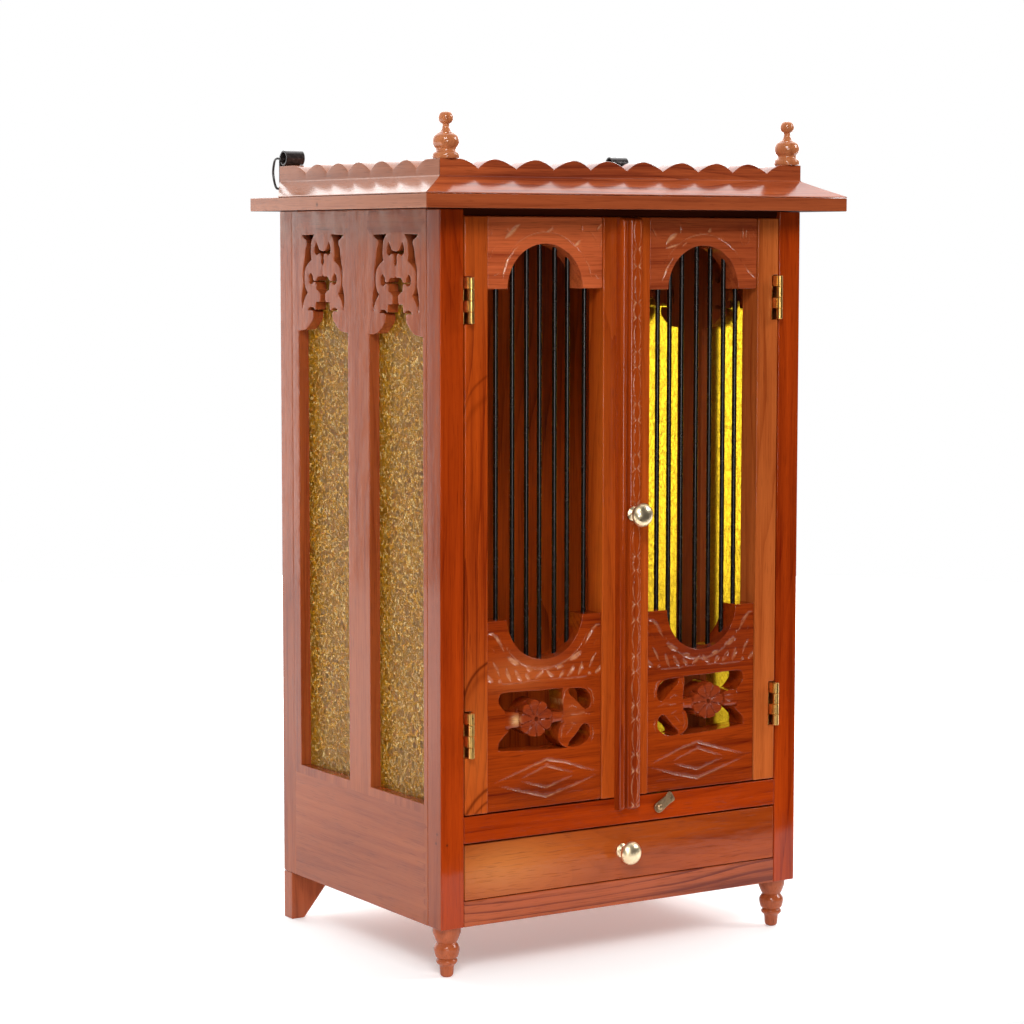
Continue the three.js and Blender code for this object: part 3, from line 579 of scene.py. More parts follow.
def relief(name, outer, holes, to_space, thickness, height, material, body, node_name, fine=0.75,
           coarse=2.4,
           round_r=0.7, seams=(), choose=None, active=None, square_above=1e9, cut_of=None):
    """A board cut out along outlines, with its face carved. height gives the depth of the carving in mm at
    points of the face, cut_of the part of it that is cut strokes, and to_space turns (u, v, depth) into mm in
    the body. Points stand fine mm apart where active says so, and coarse mm elsewhere. The edge of the face
    is rounded over by round_r, but not above square_above. seams are lines that the faces keep to, and choose
    gives each face its material."""
    loops = [resample(np.asarray(l, float), 1.6) for l in (outer, *holes)]
    bound = np.concatenate(loops)
    edges = []
    start = 0
    for l in loops:
        n = len(l)
        edges += [(start + i, start + (i + 1) % n) for i in range(n)]
        start += n
    extra = []
    for a, b in seams:
        a, b = np.array(a, float), np.array(b, float)
        k = int(np.linalg.norm(b - a) / 1.6) + 1
        line = a + (b - a) * (np.arange(1, k) / k)[:, None]
        keep = inside(line, loops) & (loops_distance(line, loops) > 0.5)
        extra.append(line[keep])
    lo, hi = bound.min(0), bound.max(0)
    us = np.arange(lo[0], hi[0], fine)
    vs = np.arange(lo[1], hi[1], fine)
    U, V = np.meshgrid(us, vs)
    U = U + np.where((np.arange(len(vs)) % 2)[:, None] == 1, fine / 2, 0)
    grid = np.column_stack([U.ravel(), V.ravel()])
    iu, iv = np.meshgrid(np.arange(len(us)), np.arange(len(vs)))
    step = max(1, int(round(coarse / fine)))
    sparse = ((iu % step == 0) & (iv % step == 0)).ravel()
    grid = grid[sparse | active(grid) if active else sparse]
    grid = grid[inside(grid, loops)]
    grid = grid[loops_distance(grid, loops) > max(1.3 * round_r, 0.55)]
    rings = []
    for r in (0.22 * round_r, 0.6 * round_r, 1.1 * round_r):
        for l in loops:
            t = np.roll(l, -1, 0) - np.roll(l, 1, 0)
            nrm = np.column_stack([-t[:, 1], t[:, 0]])
            nrm /= np.linalg.norm(nrm, axis=1)[:, None] + 1e-12
            for sign in (1, -1):
                q = l + sign * r * nrm
                ok = inside(q, loops)
                dist = loops_distance(q[ok], loops) if ok.any() else np.zeros(0)
                rings.append(q[ok][dist > 0.8 * r])
    pts = np.concatenate([bound, grid, *rings, *extra])
    tri, tri_b = triangles(pts, edges, loops), triangles(bound, edges, loops)
    dist = loops_distance(pts, loops)
    dist[: len(bound)] = 0
    q = np.clip(round_r - dist, 0, round_r)
    edge_drop = round_r - np.sqrt(np.clip(round_r**2 - q**2, 0, None))
    h = np.clip(height(pts), 0, thickness - 2)
    edge_drop[pts[:, 1] > square_above] = 0
    depth = np.maximum(h, 0) + edge_drop * (h < round_r)
    rounded = np.flatnonzero(bound[:, 1] <= square_above)
    depth[rounded] = np.maximum(depth[rounded], round_r)
    front = to_space(pts[:, 0], pts[:, 1], depth)
    back = to_space(bound[:, 0], bound[:, 1], np.full(len(bound), thickness))
    verts = np.concatenate([front, back])
    faces = [tuple(f) for f in tri] + [tuple(int(i) + len(pts) for i in f[::-1]) for f in tri_b]
    faces += [(a, b, b + len(pts), a + len(pts)) for a, b in edges]
    carve = np.concatenate([np.clip(((cut_of or height)(pts) - 0.35) / 0.6, 0, 1), np.zeros(len(bound))])
    mats = None
    if choose is not None:
        mats = choose(np.concatenate([pts[tri].mean(1), pts[tri_b].mean(1), pts[np.array(edges)].mean(1)]))
    return make_object(name, place(verts), faces, material, body, node_name, 40.0, mats, carve)


def lathe(name, profile, centre, direction, material, body, node_name, sides=48, smooth=5):
    """A turned piece. profile is (radius, height) in mm, centre its foot, direction 'up' or 'front'."""
    prof = catmull(profile, smooth, corner=50.0)
    prof = np.array([p for i, p in enumerate(prof) if i == 0 or np.linalg.norm(p - prof[i - 1]) > 0.02])
    reach = np.asarray(profile, float)
    prof = np.clip(prof, (0, reach[:, 1].min()), reach.max(0))
    ang = np.arange(sides) * 2 * math.pi / sides
    verts, faces, rows = [], [], []
    for r, z in prof:
        if r < 0.02:
            rows.append([len(verts)])
            verts.append((0, 0, z))
        else:
            rows.append(list(range(len(verts), len(verts) + sides)))
            verts += [(r * math.cos(a), r * math.sin(a), z) for a in ang]
    for a, b in zip(rows[:-1], rows[1:]):
        for i in range(sides):
            j = (i + 1) % sides
            if len(a) == 1 and len(b) == 1:
                continue
            if len(a) == 1:
                faces.append((a[0], b[j], b[i]))
            elif len(b) == 1:
                faces.append((a[i], a[j], b[0]))
            else:
                faces.append((a[i], a[j], b[j], b[i]))
    v = np.array(verts, float)
    if direction == "front":
        v = np.column_stack([v[:, 0], -v[:, 2], v[:, 1]])
    v = v + np.array(centre, float)
    return make_object(name, place(v), faces, material, body, node_name, 45.0)


def arc_points(cx, cz, r, a0, a1, n):
    a = np.linspace(math.radians(a0), math.radians(a1), n)
    return np.column_stack([cx + r * np.cos(a), cz + r * np.sin(a)])


def wobble(p, amount=0.13, seed=0.0):
    """The slight unevenness that a gouge and a scraper leave."""
    u, v = p[:, 0] + 37 * seed, p[:, 1] - 19 * seed
    w = np.sin(u * 0.21 + 1.3 * np.sin(v * 0.13)) + np.sin(v * 0.33 + 1.1 * np.sin(u * 0.17))
    w = w + 0.5 * np.sin(0.55 * u - 0.41 * v)
    return amount * (1 + w / 2.5)


class Pieces:
    """Collects closed shapes, in mm, into one object."""

    def __init__(self):
        self.bm = bmesh.new()

    def box(self, x0, x1, y0, y1, z0, z1):
        edges = {e for v in cube(self.bm, x0, x1, y0, y1, z0, z1) for e in v.link_edges}
        bmesh.ops.bevel(self.bm, geom=list(edges), offset=0.2, segments=2, profile=0.5, affect="EDGES",
                        clamp_overlap=True)

    def turned(self, profile, origin, x_axis, y_axis, z_axis, sides=24):
        """profile is (radius, distance along z_axis)."""
        x_axis, y_axis, z_axis, origin = Vector(x_axis), Vector(y_axis), Vector(z_axis), Vector(origin)
        rows = []
        for r, h in profile:
            if r < 0.02:
                rows.append([self.bm.verts.new(origin + z_axis * h)])
                continue
            row = []
            for i in range(sides):
                a = 2 * math.pi * i / sides
                spot = origin + x_axis * r * math.cos(a) + y_axis * r * math.sin(a) + z_axis * h
                row.append(self.bm.verts.new(spot))
            rows.append(row)
        for a, b in zip(rows[:-1], rows[1:]):
            for i in range(sides):
                j = (i + 1) % sides
                if len(a) == 1:
                    self.bm.faces.new((a[0], b[j], b[i]))
                elif len(b) == 1:
                    self.bm.faces.new((a[i], a[j], b[0]))
                else:
                    self.bm.faces.new((a[i], a[j], b[j], b[i]))

    def done(self, name, material, body, slot, node_name):
        me = bpy.data.meshes.new(name)
        for v in self.bm.verts:
            v.co = Vector(place(v.co)[0])
        self.bm.to_mesh(me)
        self.bm.free()
        me.materials.append(material)
        return hand_in(name, me, body, node_name, 35.0)


# ---------------------------------------------------------------- plain boards

for s, outward in (("left", -1), ("right", 1)):
    post = softened(f"post_{s}", M["post"], 0.8)
    post.data.materials.append(M["post_side"])
    for face in post.data.polygons:
        if face.normal.x * outward > 0.8:
            face.material_index = 1
    softened(f"{s}_door_outer_stile", M[f"stile_{s}"], 0.8)
    softened(f"{s}_door_inner_stile", M["stile_inner"], 0.8)
for name, look, slot, width in (
        ("bottom_rail", "bottom_rail", "varnished_wood", 0.8), ("middle_rail", "rail", "varnished_wood", 0.7),
        ("drawer_front", "drawer", "pale_wood", 0.8), ("drawer_tray", "tray", "pale_wood", 0.5),
        ("drawer_board", "tray", "pale_wood", 0.5), ("floor_board", "floor", "varnished_wood", 0.5)):
    softened(name, M[look], width)
back_panel = softened("back_panel", M["inside"], 0.5)
back_panel.data.materials.append(M["back"])
for face in back_panel.data.polygons:
    face.material_index = int(face.normal.y > 0.9)
softened("rear_foot_board", M["foot"], 0.8)
UNDER_EAVE = 0.62355
eave = softened("eave_board", M["eave"], 0.7)
# The eave's underside gets the near-black wood, which is painted shade, and its ends get the side wood.
eave.data.materials.append(M["shade_under_eave"])
eave.data.materials.append(M["eave_side"])
for face in eave.data.polygons:
    if face.center.z < UNDER_EAVE and face.area > 1e-6:
        face.material_index = 1
    elif abs(face.normal.x) > 0.7:
        face.material_index = 2

# ---------------------------------------------------------------- side walls with their fretwork

FRET_BASE = 520.9
WINDOWS = [(27, 114.1), (150.6, 237.1)]
WINDOW_BOTTOM, INNER_TOP = 141.6, 607.6
FRET_SLOT = [(36, 82), (15, 82.6), (19.2, 78), (20.6, 72.7), (21, 65), (20, 61), (26.4, 57.7), (30.8, 53.8),
             (32.6, 47), (32.2, 40.5), (29.8, 35.8), (27.2, 33.1), (31.6, 28.7), (34.4, 24.7), (36, 19.2),
             (37.4, 24.5), (37.2, 30), (35.8, 36), (34.1, 41), (34.5, 48), (34.2, 54), (32.2, 60), (31, 65),
             (30, 70.5), (27.6, 75), (28.4, 78), (32, 79.3)]
FRET_CRESCENT = [(0, 68.4), (5.6, 69.6), (8, 72.6), (11, 76.2), (13.8, 71.5), (13.4, 67), (10, 65),
                 (7.6, 66.3), (3.2, 66.8), (1.8, 62.7), (2.2, 59.3), (0, 56.4)]
FRET_OPENING = [(0, 49.1), (1.6, 47.1), (7, 47), (9.6, 46), (12.2, 43.4), (17, 43.4), (17.8, 47), (20.6, 50),
                (23.5, 48.4), (24.5, 45), (23.7, 41.6), (20.6, 40.3), (17.8, 41), (16.8, 42.3), (12.6, 42.3),
                (11.6, 40), (10.8, 36), (6.8, 34.6), (4, 32.2), (4.3, 27.5), (5.8, 25.4), (11.6, 25.4),
                (12.5, 18.8), (14.6, 18.8), (16.2, 20.1), (20.4, 21), (24.6, 20), (26.2, 18), (18.2, 17.9),
                (16.6, 16.6), (17, 11.5), (21, 7.6), (25.6, 4.2), (31, 1.4)]


def symmetric(half, centre):
    left = [(centre - d, FRET_BASE + h) for d, h in half if d > 0]
    return [(centre + d, FRET_BASE + h) for d, h in half] + left[::-1]


def boolean_cut(ob, boxes):
    """Takes boxes, in mm, out of the object's mesh."""
    bm = bmesh.new()
    for box in boxes:
        cube(bm, *box, to_space=lambda p: Vector(place(p)[0]))
    tool_mesh = bpy.data.meshes.new("cutter")
    bm.to_mesh(tool_mesh)
    bm.free()
    tool = bpy.data.objects.new("cutter", tool_mesh)
    SCENE.collection.objects.link(tool)
    ob.modifiers.clear()
    mod = ob.modifiers.new("cut", "BOOLEAN")
    mod.operation = "DIFFERENCE"
    mod.solver = "EXACT"
    mod.object = tool
    done = bpy.data.meshes.new_from_object(ob.evaluated_get(bpy.context.evaluated_depsgraph_get()))
    ob.modifiers.clear()
    even_normals(ob)
    ob.data = done
    bpy.data.objects.remove(tool)
    bpy.data.meshes.remove(tool_mesh)


WALL_FRONT, WALL_BACK, WALL_FOOT, WALL_HEAD = 20.8, 271.0, 42.0, 623.35
REAR_STILE = 248.3
RAIL_FOOT, RAIL_HEAD = 134.0, 603.5
SLOT_NEAR, SLOT_FAR, SLOT_FRONT, SLOT_BACK, SLOT_FOOT = 9.3, 12.7, 24.0, 239.7, 137.6


def wall_material(c):
    """Upright grain in the stiles, level grain in the rails."""
    y, z = c[:, 0], c[:, 1]
    head = (z > RAIL_HEAD) & (((y > 27) & (y < 114.1)) | ((y > 150.6) & (y < 237.1)))
    sill = (z < RAIL_FOOT) & (y > 27) & (y < REAR_STILE)
    return np.where(head | sill, 1, 0)


def wall_height(p):
    """Hardly uneven, with the joint of the rear stile as a fine groove."""
    return 0.06 * np.abs(wobble(p, 1.0, 5.0)) + np.where(np.abs(p[:, 0] - REAR_STILE) < 0.3, 0.12, 0.0)


def from_side(x_of, start=0.0):
    """Turns (y, z, depth) into mm in the body, for a piece whose face is start mm in from one side."""
    return lambda u, v, d: np.column_stack([x_of(start + d), u, v])


for s, x_of in SIDES:
    holes = []
    for y0, y1 in WINDOWS:
        c, half = (y0 + y1) / 2, (y1 - y0) / 2
        holes += [catmull([(c + m * d, FRET_BASE + h) for d, h in FRET_SLOT], 4, True, 50) for m in (1, -1)]
        opening = FRET_OPENING + [(half, 0), (half, WINDOW_BOTTOM - FRET_BASE)]
        holes += [catmull(symmetric(shape, c), 4, True, 50) for shape in (FRET_CRESCENT, opening)]
    rim = [(WALL_FRONT, WALL_FOOT), (WALL_BACK, WALL_FOOT), (WALL_BACK, WALL_HEAD), (WALL_FRONT, WALL_HEAD)]
    seams = [((y, WALL_FOOT), (y, 623.1)) for y in (REAR_STILE, 247.9, 248.7)]
    seams += [((27, RAIL_FOOT), (248, RAIL_FOOT)), *(((y0, RAIL_HEAD), (y1, RAIL_HEAD)) for y0,
                                                     y1 in WINDOWS)]
    ob = relief(f"{s}_side_wall_board", rim, holes, from_side(x_of), 20.0, wall_height,
                [M["side_upright"], M["side_rail"]], "cabinet", f"side_wall_{s}", fine=1.2,
                coarse=9.6, round_r=0.6, seams=seams, choose=wall_material, square_above=622.8)
    boxes = [(x_of(SLOT_NEAR), x_of(SLOT_FAR), SLOT_FRONT, SLOT_BACK, SLOT_FOOT, 624.0)]
    boxes += [(x_of(SLOT_NEAR + 0.01), x_of(21), y0 - 0.05, y1 + 0.05, WINDOW_BOTTOM - 0.05, INNER_TOP)
              for y0, y1 in WINDOWS]
    boolean_cut(ob, boxes)
    finish_mesh(ob.data, 40.0)

# ---------------------------------------------------------------- carved door boards

PANEL = (45.1, 156.3)
PANEL_CENTRE = 100.7
DOOR_BOTTOM, DOOR_TOP = 134.0, 617.4
DOORS = {
    "left": dict(spring=559.3, radius=36.7, height=293.0, horn=290.8),
    "right": dict(spring=557.9, radius=35.7, height=288.5, horn=288.4),
}


def arch_strokes(s):
    """Cuts round the arch, in left-door coordinates: a line that follows it, and leaf cuts in the corners."""
    cx, cz = PANEL_CENTRE, DOORS[s]["spring"]
    cuts = [(arc_points(cx, cz, 45.6, 16, 164, 60), 2.0, 0.75), ([(46, 605), (50, 611)], 1.3, 0.5),
            ([(47, 600), (49.5, 604), (49, 609)], 1.4, 0.5), ([(108, 614), (121, 613.2), (131, 614.2)], 1.4,
                                                              0.4)]
    if s == "left":
        return cuts + [
            ([(59.6, 566), (60.5, 573), (64.5, 583), (70.5, 590.5), (76, 594.5)], 2.8, 1.3),
            ([(146, 566), (143, 578), (137, 586)], 2.0, 0.8),
            ([(58, 573), (54, 571), (50.5, 570)], 1.8, 0.7), ([(148, 571.5), (152, 568), (156, 567)], 2.2,
                                                              0.9),
            ([(61, 599), (66, 603), (72, 608.5), (77, 611.5)], 5.4, 1.6),
            ([(63, 608), (69, 604)], 2.0, 0.8, True),
            ([(101.5, 605), (105, 606.4), (108, 609)], 3.0, 1.2, True),
            ([(136, 604.5), (136.4, 611.5)], 1.9, 0.9),
            ([(128.5, 593.5), (132, 596), (135, 599)], 3.2, 1.1, True),
            ([(150.5, 606), (153, 609), (155.8, 612)], 3.6, 1.3),
            ([(154.5, 592), (155.6, 600)], 2.2, 0.9), ([(47.5, 583), (50, 590), (54, 594.5)], 1.5, 0.6),
            ([(151, 596), (148, 602), (143, 606)], 1.5, 0.6),
        ]
    return cuts + [
        ([(144, 564), (142.5, 567), (139, 575), (131, 586)], 2.8, 1.2), ([(124, 593), (117, 598)], 2.4, 0.9),
        ([(60, 580), (55, 574), (48, 568.5), (45.6, 566.5)], 2.4, 0.9),
        ([(140, 595.5), (134, 601), (127.5, 604.5)], 5.8, 1.6),
        ([(141, 591.6), (133, 593.6), (124, 596)], 2.6, 1.2),
        ([(125, 603.5), (124.6, 611.5)], 2.0, 0.8), ([(60.4, 599.5), (60, 608.5)], 1.7, 0.9),
        ([(57, 599.5), (56.6, 608.5)], 1.7, 0.9), ([(63, 608), (54, 605), (53.6, 597), (60, 594), (63.5, 600),
                                                    (63, 608)], 1.4, 0.5),
        ([(97, 605.5), (93, 607.5)], 2.8, 1.0, True), ([(149, 600), (152, 606), (155, 609)], 2.2, 0.8),
        ([(86, 602), (78, 599)], 1.6, 0.6),
    ]


def lower_strokes(s):
    """Cuts on the lower board: a line round the bowl, leaf cuts under it, and the double lozenge."""
    d = DOORS[s]
    cx, cz = PANEL_CENTRE, d["height"]
    cuts = [(arc_points(cx, cz, d["radius"] + 8.2, 197, 343, 60), 2.2, 1.1)]
    for m in (1, -1):
        f = lambda pts: [(cx + m * a, b) for a, b in pts]
        cuts += [
            (f([(39, 264.5), (42.5, 270.5), (46.5, 277), (50.5, 280.6), (55.4, 281.2)]), 4.2, 1.5),
            (f([(24, 253.5), (30, 256), (36.5, 260.5)]), 4.6, 1.3, True),
            (f([(11, 247.8), (18.5, 249.8)]), 4.0, 1.1, True),
            (f([(21.5, 239.8), (26, 243.5), (29, 249.8)]), 5.0, 1.5),
            (f([(32.5, 239.6), (36, 246.4), (37, 252)]), 5.0, 1.5),
            (f([(43.5, 244.5), (46, 251), (51, 258.5)]), 3.6, 1.3),
            (f([(49.5, 241), (53.5, 243.5), (55.4, 247.5)]), 5.0, 1.5),
            (f([(1.2, 248), (4.5, 243.6), (10, 240.4)]), 4.4, 1.3),
            (f([(14, 240.2), (17.5, 243.2), (18.5, 246)]), 3.6, 1.1, True),
            (f([(43, 239.9), (44.8, 242.5)]), 3.6, 1.1, True),
            (f([(0.5, 239.3), (28, 238.2), (55.6, 238.9)]), 1.7, 0.8),
            (f([(46, 262), (50, 268), (55.2, 271)]), 1.6, 0.5),
        ]
    cuts += [
        ([(49.5, 156.3), (74, 163.6), (103, 172.6), (122, 168.4), (141, 161.3), (157, 156.3)], 2.7, 1.0),
        ([(50, 156.0), (76, 149), (103, 141.6), (126, 147.2), (156.6, 156)], 2.7, 1.0),
        ([(74.5, 157.2), (103, 167.3), (132.5, 157.4)], 2.4, 0.9),
        ([(74.5, 157), (103, 149.2), (132.5, 157.2)], 2.4, 0.9),
        ([(118, 140.6), (152, 141.2)], 1.2, 0.4),
    ]
    return cuts


FLOWER = (92.4, 207.1)
HOLE_A = [(57, 228.3), (58, 230.4), (62.8, 231.3), (76.3, 231.2), (95.8, 230.6), (110.5, 230.7),
          (118.4, 230.4), (117.9, 226.7), (118.4, 220.8), (119.2, 212.2), (117.6, 210.8), (108.5, 211.7),
          (107.6, 214.3), (101.7, 219.7), (94.8, 223.2), (89.9, 223.7), (84.1, 221.3), (79.2, 216.6),
          (77.3, 213.2), (70.5, 214.6), (65.7, 214.8), (62.8, 215.7), (57, 221.9), (56, 226.1)]
HOLE_B = [(66.2, 200.9), (71.5, 201.7), (77.3, 201.6), (79.2, 198.5), (86.1, 194.1), (91.9, 192.4),
          (96.8, 192.7), (99.7, 195), (104.7, 195.8), (107.6, 198.4), (107.6, 201.8), (111.5, 202.9),
          (118.2, 203.4), (115.5, 198.5), (114, 192), (114.5, 186.9), (118.5, 182.4), (122.5, 180.8),
          (115.5, 180.6), (86.1, 181.7), (56.1, 184.1), (55.6, 187.5), (57, 191.5), (62.8, 196.7),
          (65.7, 199.7)]
HOLE_C = [(124.3, 229.9), (138.2, 228.9), (144.2, 224.9), (146.2, 219.3), (145.3, 213.5), (141.3, 211.2),
          (137.3, 214.2), (130.3, 221.1), (125.3, 225.2)]
HOLE_D = [(123.9, 181.9), (125.4, 185.5), (130.4, 190.1), (135.3, 195.5), (138.3, 198.6), (141.3, 199.1),
          (144.3, 197.2), (145.3, 194.2), (145.4, 189.1), (142.4, 185.2), (137.4, 182.3), (130.4, 180.8)]
LEAF_CUTS = [
    ([(118.8, 213), (118.6, 221), (120.5, 227.5), (123.2, 230.2)], 1.8, 0.9),
    ([(148.6, 212), (149.2, 219), (147, 226), (141, 231)], 2.0, 0.9),
    ([(119, 208.5), (128, 207.6), (140, 208), (150, 205.4)], 1.8, 0.8),
    ([(121.2, 212.5), (128, 215.5), (136, 211.6)], 1.6, 0.7),
    ([(120, 184.2), (117, 190), (118, 197), (122.5, 202.6)], 1.8, 0.8),
    ([(124.5, 202), (130, 199.8), (134, 197.8)], 1.6, 0.7),
    ([(147.6, 198.6), (149, 190), (146, 182.6)], 1.9, 0.8),
    ([(120, 189), (126, 195), (131, 199.8)], 1.5, 0.6),
    ([(65.5, 206.2), (70, 205.2), (75.5, 207.5)], 1.8, 0.8),
    ([(66, 209.6), (70.5, 210.6), (75.8, 209.6)], 1.8, 0.8),
]


def cuts_depth(cuts):
    """Depth of a set of cuts (path, width, depth, and True for a round gouge)."""
    def depth(p):
        h = np.zeros(len(p))
        for cut in cuts:
            h = np.maximum(h, stroke(p, *cut))
        return h
    return depth


def lower_height(s):
    cut_depth = cuts_depth(lower_strokes(s) + LEAF_CUTS)

    def height(p):
        h = cut_depth(p)
        d = p - np.array(FLOWER)
        r = np.hypot(d[:, 0], d[:, 1])
        ang = np.arctan2(d[:, 1], d[:, 0])
        petal = np.abs(np.sin(4.5 * ang + 0.4))
        disc = r < 16.8
        cut = np.clip(1 - petal * np.maximum(r, 1.5) / 2.6, 0, 1) * np.clip((r - 2.0) / 3.0, 0, 1)
        dish = 1.1 * np.clip(1 - ((r - 9.0) / 6.5) ** 2, 0, 1)
        lobe = 13.3 + 3.0 * petal ** 0.6
        flower = 0.2 + dish + 1.5 * cut + 0.9 * np.clip((r - lobe + 3.0) / 3.0, 0, 1) ** 2
        flower = np.where(r < 3.4, 0.35 + 0.5 * (r / 3.4) ** 2, flower)
        flower = np.where(r < 1.6, 6.0, flower)
        flower = np.where(r > lobe, np.where(np.abs(d[:, 1]) > 5, 8.0, 2.6), flower)
        h = np.where(disc, flower, h)
        bud = (p[:, 0] > 62.5) & (p[:, 0] < 78.5) & (p[:, 1] > 200) & (p[:, 1] < 215) & ~disc
        h = np.where(bud, h + 0.5 + 1.6 * np.clip((np.abs(p[:, 1] - 208) - 3.2) / 4.5, 0, 1) ** 2, h)
        stem = (p[:, 0] > 107) & (p[:, 0] < 118.6) & (p[:, 1] > 201) & (p[:, 1] < 213) & ~disc
        h = np.where(stem, h + 1.0 + 0.28 * np.abs(p[:, 1] - 207.2) ** 1.3 * 0.5, h)
        return h + wobble(p, 0.12, 1.0 if s == "left" else 2.0)

    return height, cut_depth


def arch_height(s):
    cut_depth = cuts_depth(arch_strokes(s))
    return (lambda p: cut_depth(p) + wobble(p, 0.12, 3.0 if s == "left" else 4.0)), cut_depth


FRONT = 1.0


def to_front(x_of):
    return lambda u, v, d: np.column_stack([x_of(u), FRONT + d, v])


def near_cut(height):
    def active(g):
        h = height(g)
        e = 0.8
        return (np.abs(height(g + [e, 0]) - h) + np.abs(height(g + [0, e]) - h)) > 0.07
    return active


for s, x_of in SIDES:
    d = DOORS[s]
    left, right = PANEL
    arch = [(left, DOOR_TOP), (left, d["spring"]), *arc_points(PANEL_CENTRE, d["spring"], 36.3, 180, 0, 60),
            (right, d["spring"]), (right, DOOR_TOP)]
    lip = math.degrees(math.asin((d["height"] - d["horn"]) / d["radius"]))
    bowl = arc_points(PANEL_CENTRE, d["height"], d["radius"], 180 + lip, 360 - lip, 60)
    low = [(left, DOOR_BOTTOM), (left, d["horn"]), *bowl, (right, d["horn"]), (right, DOOR_BOTTOM)]
    holes = [catmull(h, 5, True, 60) for h in (HOLE_A, HOLE_B, HOLE_C, HOLE_D)]
    for kind, look, outline, cut_out, (height, cuts) in (("arch", "arch", arch, [], arch_height(s)),
                                                         ("lower", "board", low, holes, lower_height(s))):
        relief(f"{s}_{kind}_carving", outline, cut_out, to_front(x_of), 20.5, height, M[f"{look}_{s}"],
               f"{s}_door",
               f"{s}_door_{kind}_board", active=near_cut(height), cut_of=cuts)

# ---------------------------------------------------------------- crown

EAVE_SIDE, EAVE_FRONT, DEPTH = 28.7, 27.8, 271.0
CROWN_BASE, BAND_BOTTOM, VALLEY, PEAK, BAND_THICKNESS = 635.0, 649.0, 655.4, 662.8, 16.5


def scallop(edges, v):
    """Height of the band's top at distance v along the run: round humps that meet in sharp valleys."""
    for i, (a, b) in enumerate(zip(edges[:-1], edges[1:])):
        if a <= v <= b:
            t = (v - a) / (b - a)
            if i == 0 and t < 0.5 or i == len(edges) - 2 and t > 0.5:
                return PEAK
            lean = 0.06 * math.sin(1.7 * i)
            t = t + lean * math.sin(math.pi * t) * (1 if 0 < i < len(edges) - 2 else 0)
            return VALLEY + (PEAK - VALLEY) * math.sin(math.pi * t) ** 0.92
    return PEAK


def crown_run(name, node_name, edges, lo, hi, overhang, to_space, cuts, material):
    """A sloping skirt that rises into the scalloped band, cut off by vertical planes."""
    stations = sorted(set(np.arange(lo, hi, 1.0)) | {hi} | {e for e in edges if lo <= e <= hi})
    flat = []
    for v in stations:
        h = scallop(edges, min(max(v, edges[0]), edges[-1]))
        sag = 0.15 * math.sin(v * 0.05)
        section = [(-overhang, CROWN_BASE), (-overhang, CROWN_BASE + 0.5),
                   (-overhang + 0.5, CROWN_BASE + 1.0),
                   (-14, 642.2 + sag), (-1.2, BAND_BOTTOM - 0.55), (-0.35, BAND_BOTTOM + 0.1),
                   (0, BAND_BOTTOM + 0.9), (0, h - 0.7), (0.2, h - 0.2), (0.7, h), (8, h),
                   (BAND_THICKNESS - 0.7, h), (BAND_THICKNESS, h - 0.7), (BAND_THICKNESS, CROWN_BASE)]
        flat += [(v, o, z) for o, z in section]
    v, o, z = np.array(flat).T
    ob = make_object(name, place(to_space(v, o, z)), tube_faces(len(stations), len(section)), material,
                     "cabinet",
                     node_name, 30.0)
    bm = bmesh.new()
    bm.from_mesh(ob.data)
    for point, normal in cuts:
        cutting = bmesh.ops.bisect_plane(bm, geom=[*bm.verts, *bm.edges, *bm.faces], dist=1e-7,
                                         clear_outer=True,
                                         plane_co=Vector(place((*point, 0))[0]),
                                         plane_no=Vector((*normal, 0)))
        rim = [e for e in cutting["geom_cut"] if isinstance(e, bmesh.types.BMEdge)]
        bmesh.ops.holes_fill(bm, edges=rim, sides=0)
    bmesh.ops.triangulate(bm, faces=[f for f in bm.faces if len(f.verts) > 4])
    bm.to_mesh(ob.data)
    bm.free()
    finish_mesh(ob.data, 30.0)


MITRE = np.array([EAVE_SIDE, EAVE_FRONT]) / math.hypot(EAVE_SIDE, EAVE_FRONT)
front_edges = [WIDTH / 10 * i for i in range(11)]
crown_run("crown_front_run", "crown_front", front_edges, -EAVE_SIDE, WIDTH + EAVE_SIDE, EAVE_FRONT,
          lambda v, o, z: np.column_stack([v, o, z]),
          [((0.15, 0), (-MITRE[1], MITRE[0])), ((WIDTH - 0.15, 0), (MITRE[1], MITRE[0]))], M["crown"])
side_edges = [0.0] + [37 + 37.2 * i for i in range(6)] + [DEPTH - 0.3]
for s, x_of in SIDES:
    m = 1 if s == "left" else -1
    crown_run(f"crown_{s}_run", f"crown_{s}", side_edges, -EAVE_FRONT, DEPTH - 0.3, EAVE_SIDE,
              lambda v, o, z, x_of=x_of: np.column_stack([x_of(o), v, z]),
              [((x_of(0), 0.3), (m * MITRE[1], -MITRE[0])), ((x_of(-0.5), DEPTH - 1), (-51 * m, 28.2))],
              M["eave_side"])

# ---------------------------------------------------------------- turned pieces and knobs

